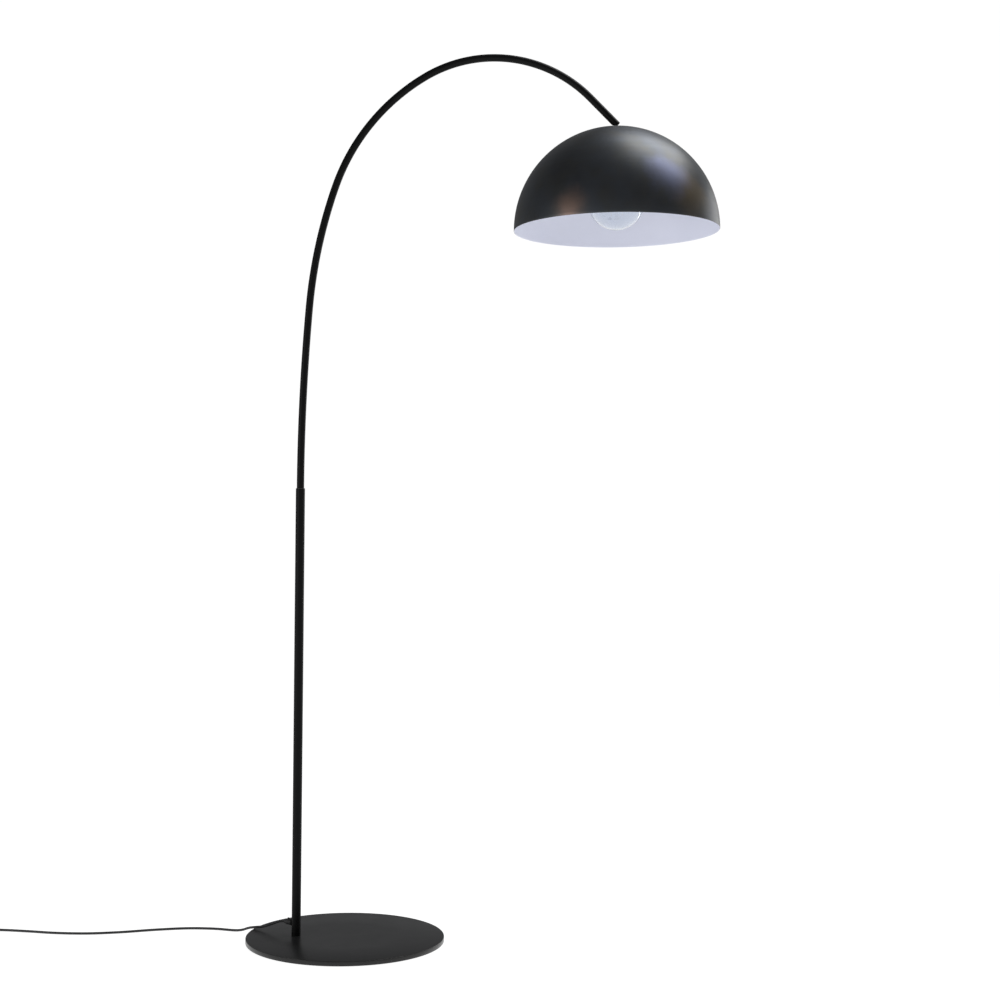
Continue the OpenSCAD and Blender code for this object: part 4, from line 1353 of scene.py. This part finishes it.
@dataclass
class GlobeBulb(HeadPart):
    """The globe bulb: blown glass, a glass mount with filaments, and a screw cap."""

    centre: float = -0.1704
    radius: float = 0.0625
    glass: float = 0.0008
    neck: float = 0.0123
    neck_curve: float = 0.030
    neck_top: float = 0.0936
    cap_low: float = -0.0848
    cap_length: float = 0.022
    cap_radius: float = 0.0131
    thread_pitch: float = 0.00362
    thread_wire: float = 0.0008
    filaments: int = 6
    filament_ring: float = 0.013
    filament_length: float = 0.036
    filament_wire: float = 0.0009
    filament_tilt: float = 12.0
    filament_foot: float = -0.004

    def build(self) -> None:
        """Makes the glass, the cap with its rolled thread, the mount and the filaments."""
        here = self.frame_here() @ Matrix.Translation((0, 0, self.centre))
        outside = self._outline(0.0)
        inside = list(reversed(self._outline(self.glass)))
        globe = add_piece("globe_glass", turned([*outside, *inside], 128, here), [GLASS])
        settle(globe, "head", ["bulb_globe"])
        self._cap()
        self._mount(here)
        self._filaments(here)

    def _outline(self, inset: float) -> list[tuple[float, float]]:
        """The glass's profile from its lowest point to the top of its neck, set in by an amount."""
        reach = self.radius + self.neck_curve
        cx = self.neck + self.neck_curve
        cy = math.sqrt(reach ** 2 - cx ** 2)
        meet = math.degrees(math.atan2(cy, cx))
        ball = arc((0, 0), self.radius - inset, -90, meet, 48)
        ball[0] = (0.0, ball[0][1])
        throat = arc((cx, cy), self.neck_curve + inset, 180 + meet, 180, 12)[1:]
        return [*ball, *throat, (self.neck - inset, self.neck_top)]

    def _cap(self) -> None:
        """The nickel shell with a rolled thread."""
        core = self.cap_radius - self.thread_wire
        top = self.cap_low + self.cap_length
        wall = 0.0004
        shell = turned([(0, top), (core - 0.0025, top), (core, top - 0.0022), (core, self.cap_low + 0.004),
                        (self.cap_radius, self.cap_low + 0.003), (self.cap_radius, self.cap_low),
                        (self.cap_radius - wall, self.cap_low), (core - wall, self.cap_low + 0.004),
                        (core - wall, top - 0.0026), (0, top - 0.0026)], 72, self.frame_here())
        rise = self.cap_length - 0.0085
        sizes = {"Turns": rise / self.thread_pitch, "Radius": core, "Rise": rise, "Wire": self.thread_wire}
        place = self.frame_here() @ Matrix.Translation((0, 0, self.cap_low + 0.005))
        thread = COILED_WIRE.bake(sizes, NICKEL, place)
        cap = add_piece("bulb_screw_cap", joined([shell, thread]), [NICKEL])
        settle(cap, "head", ["bulb_cap"], sharp=45)

    def _mount(self, here: Matrix) -> None:
        """The glass stem that carries the filaments, flared where it joins the neck."""
        top = self.cap_low - self.centre + 0.006
        flare = self.neck - self.glass - 0.0005
        outline = [(0, top), (flare, top), (0.0072, top - 0.005), (0.004, top - 0.012), (0.004, 0.0),
                   *arc((0.0028, -0.0008), 0.0012, 0, -90, 4), (0, -0.002)]
        mount = add_piece("filament_mount", turned(outline, 40, here), [GLASS])
        settle(mount, "head", ["bulb_mount"])

    def _filaments(self, here: Matrix) -> None:
        """Upright filaments in a ring, each a sleeve with rounded ends."""
        w, length = self.filament_wire, self.filament_length
        outline = [(0, length), *arc((0, length - w), w, 80, 0, 4), *arc((0, w), w, 0, -80, 4), (0, 0)]
        meshes = []
        for i in range(self.filaments):
            turn = Matrix.Rotation(FULL * i / self.filaments, 4, "Z")
            foot = Matrix.Translation((self.filament_ring, 0, self.filament_foot))
            tilt = Matrix.Rotation(math.radians(self.filament_tilt), 4, "Y")
            meshes.append(turned(outline, 14, here @ turn @ foot @ tilt))
        lamps = add_piece("filament_ring", joined(meshes), [PHOSPHOR])
        settle(lamps, "head", ["bulb_filaments"])


# ---------------------------------------------------------------- foot switch, plug and tie


def stadium(length: float, width: float, inset: float, steps: int = 20) -> list[tuple[float, float]]:
    """A plan with round ends that runs from x = 0 to x = -length, set in by an amount."""
    r = width / 2 - inset
    return [*arc((-width / 2, 0), r, -90, 90, steps), *arc((width / 2 - length, 0), r, 90, 270, steps)]


@dataclass
class FootSwitch:
    """The foot switch in the cord: two half-shells, a round button and cord sleeves."""

    length: float = 0.070
    width: float = 0.038
    split: float = 0.008
    height: float = 0.020
    joint_gap: float = 0.0004
    wall: float = 0.002
    button: float = 0.013
    button_gap: float = 0.0004
    flange: float = 0.0015
    flange_low: float = 0.0156
    flange_high: float = 0.0020
    button_roof: float = 0.0028
    cord_height: float = 0.007
    sleeve: float = 0.0046

    def build(self) -> list[bpy.types.Object]:
        """Makes the shells, the button and the sleeves.

        Returns:
            The pieces that sit on the cord.
        """
        low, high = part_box("switch_base")
        self.here = Matrix.Translation((high[0], (low[1] + high[1]) / 2, 0))
        return [self._lower(), self._upper(), self._button(), self._sleeves()]

    def _lower(self) -> bpy.types.Object:
        """The lower half, a hair clear of the floor."""
        shell = prism(stadium(self.length, self.width, 0), 0.0006, self.split - self.joint_gap, self.here)
        piece = add_piece("switch_lower_shell", shell, [SWITCH_SHELL])
        soften(piece, 0.0014, 4)
        cut(piece, prism(stadium(self.length, self.width, self.wall), self.wall, self.split + MM, self.here))
        cut(piece, self._cord_way())
        return settle(piece, "base", ["switch_base"], sharp=40)

    def _upper(self) -> bpy.types.Object:
        """The upper half, with a generous rounded shoulder and the button's hole."""
        shell = prism(stadium(self.length, self.width, 0), self.split, self.height, self.here)
        piece = add_piece("switch_upper_shell", shell, [SWITCH_SHELL])
        soften(piece, 0.0032, 6)
        inside = stadium(self.length, self.width, self.wall)
        cut(piece, prism(inside, self.split - MM, self.height - self.wall, self.here))
        hole = self.button + self.button_gap
        outline = [(0, 0.03), (hole, 0.03), (hole, 0), (0, 0)]
        cut(piece, turned(outline, 64, self.here @ Matrix.Translation((-self.length / 2, 0, 0))))
        cut(piece, self._cord_way())
        return settle(piece, "base", ["switch_cover"], sharp=40)

    def _cord_way(self) -> bpy.types.Mesh:
        """The cutter for the cord's way in and out."""
        r = MainsCord.diameter / 2 + 0.0001
        outline = [(0, MM), (r, MM), (r, -self.length - MM), (0, -self.length - MM)]
        lift = self.here @ Matrix.Translation((0, 0, self.cord_height))
        return turned(outline, 40, lift @ Matrix.Rotation(math.pi / 2, 4, "Y"))

    def _button(self) -> bpy.types.Object:
        """The button: a shallow dish with rings to hold the foot."""
        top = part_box("switch_button")[1][2]
        r, edge = self.button, 0.0015
        rings = []
        for place in (0.0095, 0.0075, 0.0055):
            rings += [(place + 0.0005, top - 0.0005), (place + 0.0003, top - 0.0001),
                      (place - 0.0003, top - 0.0001), (place - 0.0005, top - 0.0006)]
        shelf = self.flange_low + self.flange_high
        outline = [*arc((r - edge, top - edge), edge, 90, 0, 6), (r, shelf), (r + self.flange, shelf),
                   (r + self.flange, self.flange_low), (r - 0.002, self.flange_low),
                   (r - 0.002, top - self.button_roof), (0, top - self.button_roof)]
        outline = [(0, top - 0.0008), *reversed(rings), *outline]
        place = self.here @ Matrix.Translation((-self.length / 2, 0, 0))
        piece = add_piece("switch_foot_button", turned(outline, 72, place), [BUTTON_SHELL])
        return settle(piece, "button", ["switch_button"], sharp=40)

    def _sleeves(self) -> bpy.types.Object:
        """Short ribbed sleeves where the cord goes in and out."""
        meshes = []
        for at, way in ((0.0, 1.0), (-self.length, -1.0)):
            turn = Matrix.Rotation(way * math.pi / 2, 4, "Y")
            place = self.here @ Matrix.Translation((at - way * 0.0005, 0, self.cord_height)) @ turn
            meshes.append(turned([(self.sleeve, 0.0025), (0.0036, 0.0035), (0.0028, 0.0035), (0.0028, -0.001),
                                  (self.sleeve, -0.001)], 40, place, closed=True))
        piece = add_piece("switch_cord_sleeves", joined(meshes), [SWITCH_SHELL])
        return settle(piece, "base", sharp=40)


@dataclass
class MainsPlug:
    """The flat two-pin plug with its ribbed tail."""

    tail: float = 0.008
    tail_radius: float = 0.0045
    length: float = 0.036
    width: float = 0.0353
    shoulder: float = 0.022
    thick: float = 0.0137
    pin_pitch: float = 0.0186
    pin: float = 0.002
    pin_length: float = 0.019
    sleeve: float = 0.009

    def build(self) -> list[bpy.types.Object]:
        """Makes the body, the pins and their sleeves.

        Returns:
            The pieces that sit on the cord.
        """
        low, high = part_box("plug_body")
        move = Matrix.Translation(((low[0] + high[0]) / 2, high[1], 0))
        self.here = move @ Matrix.Rotation(-math.pi / 2, 4, "Z")
        return [self._body(), self._pins()]

    def _body(self) -> bpy.types.Object:
        """A hexagonal grip rounded all over, with hoops on the tail."""
        w, end = self.width / 2, self.tail + self.length
        waist = self.tail_radius + MM
        bend = self.tail + self.shoulder
        half = [(self.tail, waist), (bend, w), (end - 0.002, w), (end, w - 0.002)]
        outline = [*[(x, -y) for x, y in half], *reversed(half)]
        piece = add_piece("plug_grip", prism(outline, 0.0004, self.thick, self.here), [SWITCH_SHELL])
        soften(piece, 0.0028, 6, 25)
        lie = self.here @ Matrix.Translation((0, 0, self.thick / 2)) @ Matrix.Rotation(math.pi / 2, 4, "Y")
        tail = turned([(0, self.tail + 0.002), (self.tail_radius, self.tail + 0.002),
                       (self.tail_radius - MM, 0.0004), (self.tail_radius - 0.0014, 0), (0, 0)], 40, lie)
        sizes = {"Count": 4, "Radius": self.tail_radius - 0.0004, "Wire": 0.0007, "Shrink": 0.07,
                 "Pitch": Vector((0, 0, -0.0018))}
        hoops = HOOP_ROW.bake(sizes, SWITCH_SHELL, lie @ Matrix.Translation((0, 0, self.tail - 0.001)))
        whole = joined([piece.data.copy(), tail, hoops])
        old, piece.data = piece.data, whole
        bpy.data.meshes.remove(old)
        piece.data.materials.clear()
        piece.data.materials.append(SWITCH_SHELL.material())
        return settle(piece, "base", ["plug_body"], sharp=40)

    def _pins(self) -> bpy.types.Object:
        """Round pins, each with a black sleeve over the half next to the body."""
        face = self.tail + self.length
        meshes = []
        for side in (-1, 1):
            lie = self.here @ Matrix.Translation((face, side * self.pin_pitch / 2, self.thick / 2))
            lie = lie @ Matrix.Rotation(math.pi / 2, 4, "Y")
            r, end = self.pin, self.pin_length
            outline = [(0, -MM), (r, -MM), (r, self.sleeve), (r - 0.0001, self.sleeve),
                       (r - 0.0001, end - MM), *arc((r - MM, end - MM), 0.0009, 0, 80, 5), (0, end)]
            meshes.append(turned(outline, 32, lie, inside_from=2))
        pins = add_piece("plug_pins_sleeved", joined(meshes), [SWITCH_SHELL, NICKEL])
        return settle(pins, "base", ["plug_pins"], sharp=50)


@dataclass
class CoilTie:
    """The woven strap that holds the coil together."""

    angle: float = 45.0
    width: float = 0.008
    thick: float = 0.0008
    corner: float = 0.0025
    flap: float = 0.009

    def build(self, cord: MainsCord) -> bpy.types.Object:
        """Wraps the strap round the coil's section, with a flap laid over on top.

        Args:
            cord: the coiled cord.
        Returns:
            The strap.
        """
        half = cord.diameter / 2
        inner, outer = cord.coil_small - half, cord.coil_wide + half
        top = cord.floor_gap + cord.layer_rise + half
        low = 0.0002
        ring = [self._section(inner, outer, low + self.thick / 2, top, g) for g in (self.thick, 0.0001)]
        bm = bmesh.new()
        turn = math.radians(self.angle)
        here = Matrix.Translation((*cord.coil_centre, 0)) @ Matrix.Rotation(turn, 4, "Z")
        loops = []
        for outline, side in ((ring[0], -1), (ring[0], 1), (ring[1], 1), (ring[1], -1)):
            across = side * self.width / 2
            loops.append([bm.verts.new(here @ Vector((x, across, max(z, low)))) for x, z in outline])
        count = len(ring[0])
        for a, b in zip(loops, loops[1:] + loops[:1]):
            for k in range(count):
                m = (k + 1) % count
                bm.faces.new((a[k], a[m], b[m], b[k]))
        mesh = closed_mesh(bm, "strap")
        middle = (inner + outer) / 2
        lid = box_mesh((middle - self.flap / 2, -self.width / 2, top + self.thick * 0.9),
                       (middle + self.flap / 2, self.width / 2, top + 2 * self.thick), here)
        strap = add_piece("coil_strap", joined([mesh, lid]), [STRAP])
        soften(strap, 0.0002, 2)
        return settle(strap, "base", ["coil_tie"])

    def _section(self, inner: float, outer: float, low: float, top: float, grow: float) -> list:
        """A rounded box round the coil's section, larger by an amount."""
        r = self.corner
        corners = ((outer - r, low + r, -90), (outer - r, top - r, 0), (inner + r, top - r, 90),
                   (inner + r, low + r, 180))
        return [p for x, z, start in corners for p in arc((x, z), r + grow, start, start + 90, 6)]


# ---------------------------------------------------------------- the parts kept as they were designed


KEPT_FINISHES: dict[str, Finish] = {
    "pole_bolt": ZINC, "pole_washer": ZINC, "pole_foot_plug": ZINC, "arm_seat": ZINC,
    "arm_grub_screw": ZINC, "cord_grip_screw": BLACK_NYLON, "pole_lead": CORD_JACKET,
    "arm_lead": CORD_JACKET, "head_lead": CORD_JACKET, "tilt_screws": POLE_PAINT,
    "shade_stem": POLE_PAINT, "shade_washer": ZINC, "shade_nut": ZINC, "holder_core": PORCELAIN,
    "holder_thread": BRASS, "holder_contact": BRASS, "bulb_insulator": CAP_GLASS,
    "bulb_contact": NICKEL, "switch_spring": ZINC, "switch_contacts": CONTACT_BLOCK,
    "switch_screws": ZINC,
}


def dress_kept_parts() -> None:
    """Gives each part that is shown as designed its finish."""
    for name, finish in KEPT_FINISHES.items():
        mesh = frame["nodes"][name].data
        mesh.materials.clear()
        mesh.materials.append(finish.material())
        LOG.info("%s wears %s", name, finish.name)


def main() -> None:
    """Builds the scene."""
    logging.basicConfig(level=logging.INFO, format="%(message)s")
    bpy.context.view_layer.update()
    Studio().build()
    cord = MainsCord()
    cord.build()
    BaseAndPole().build()
    grip = CordGrip().build()
    ArmTube().build()
    for part in (ShadeShell(), LampHolder(), GlobeBulb()):
        part.build()
    switch = FootSwitch().build()
    plug = MainsPlug().build()
    tie = CoilTie().build(cord)
    dress_kept_parts()


if __name__ == "__main__":
    main()
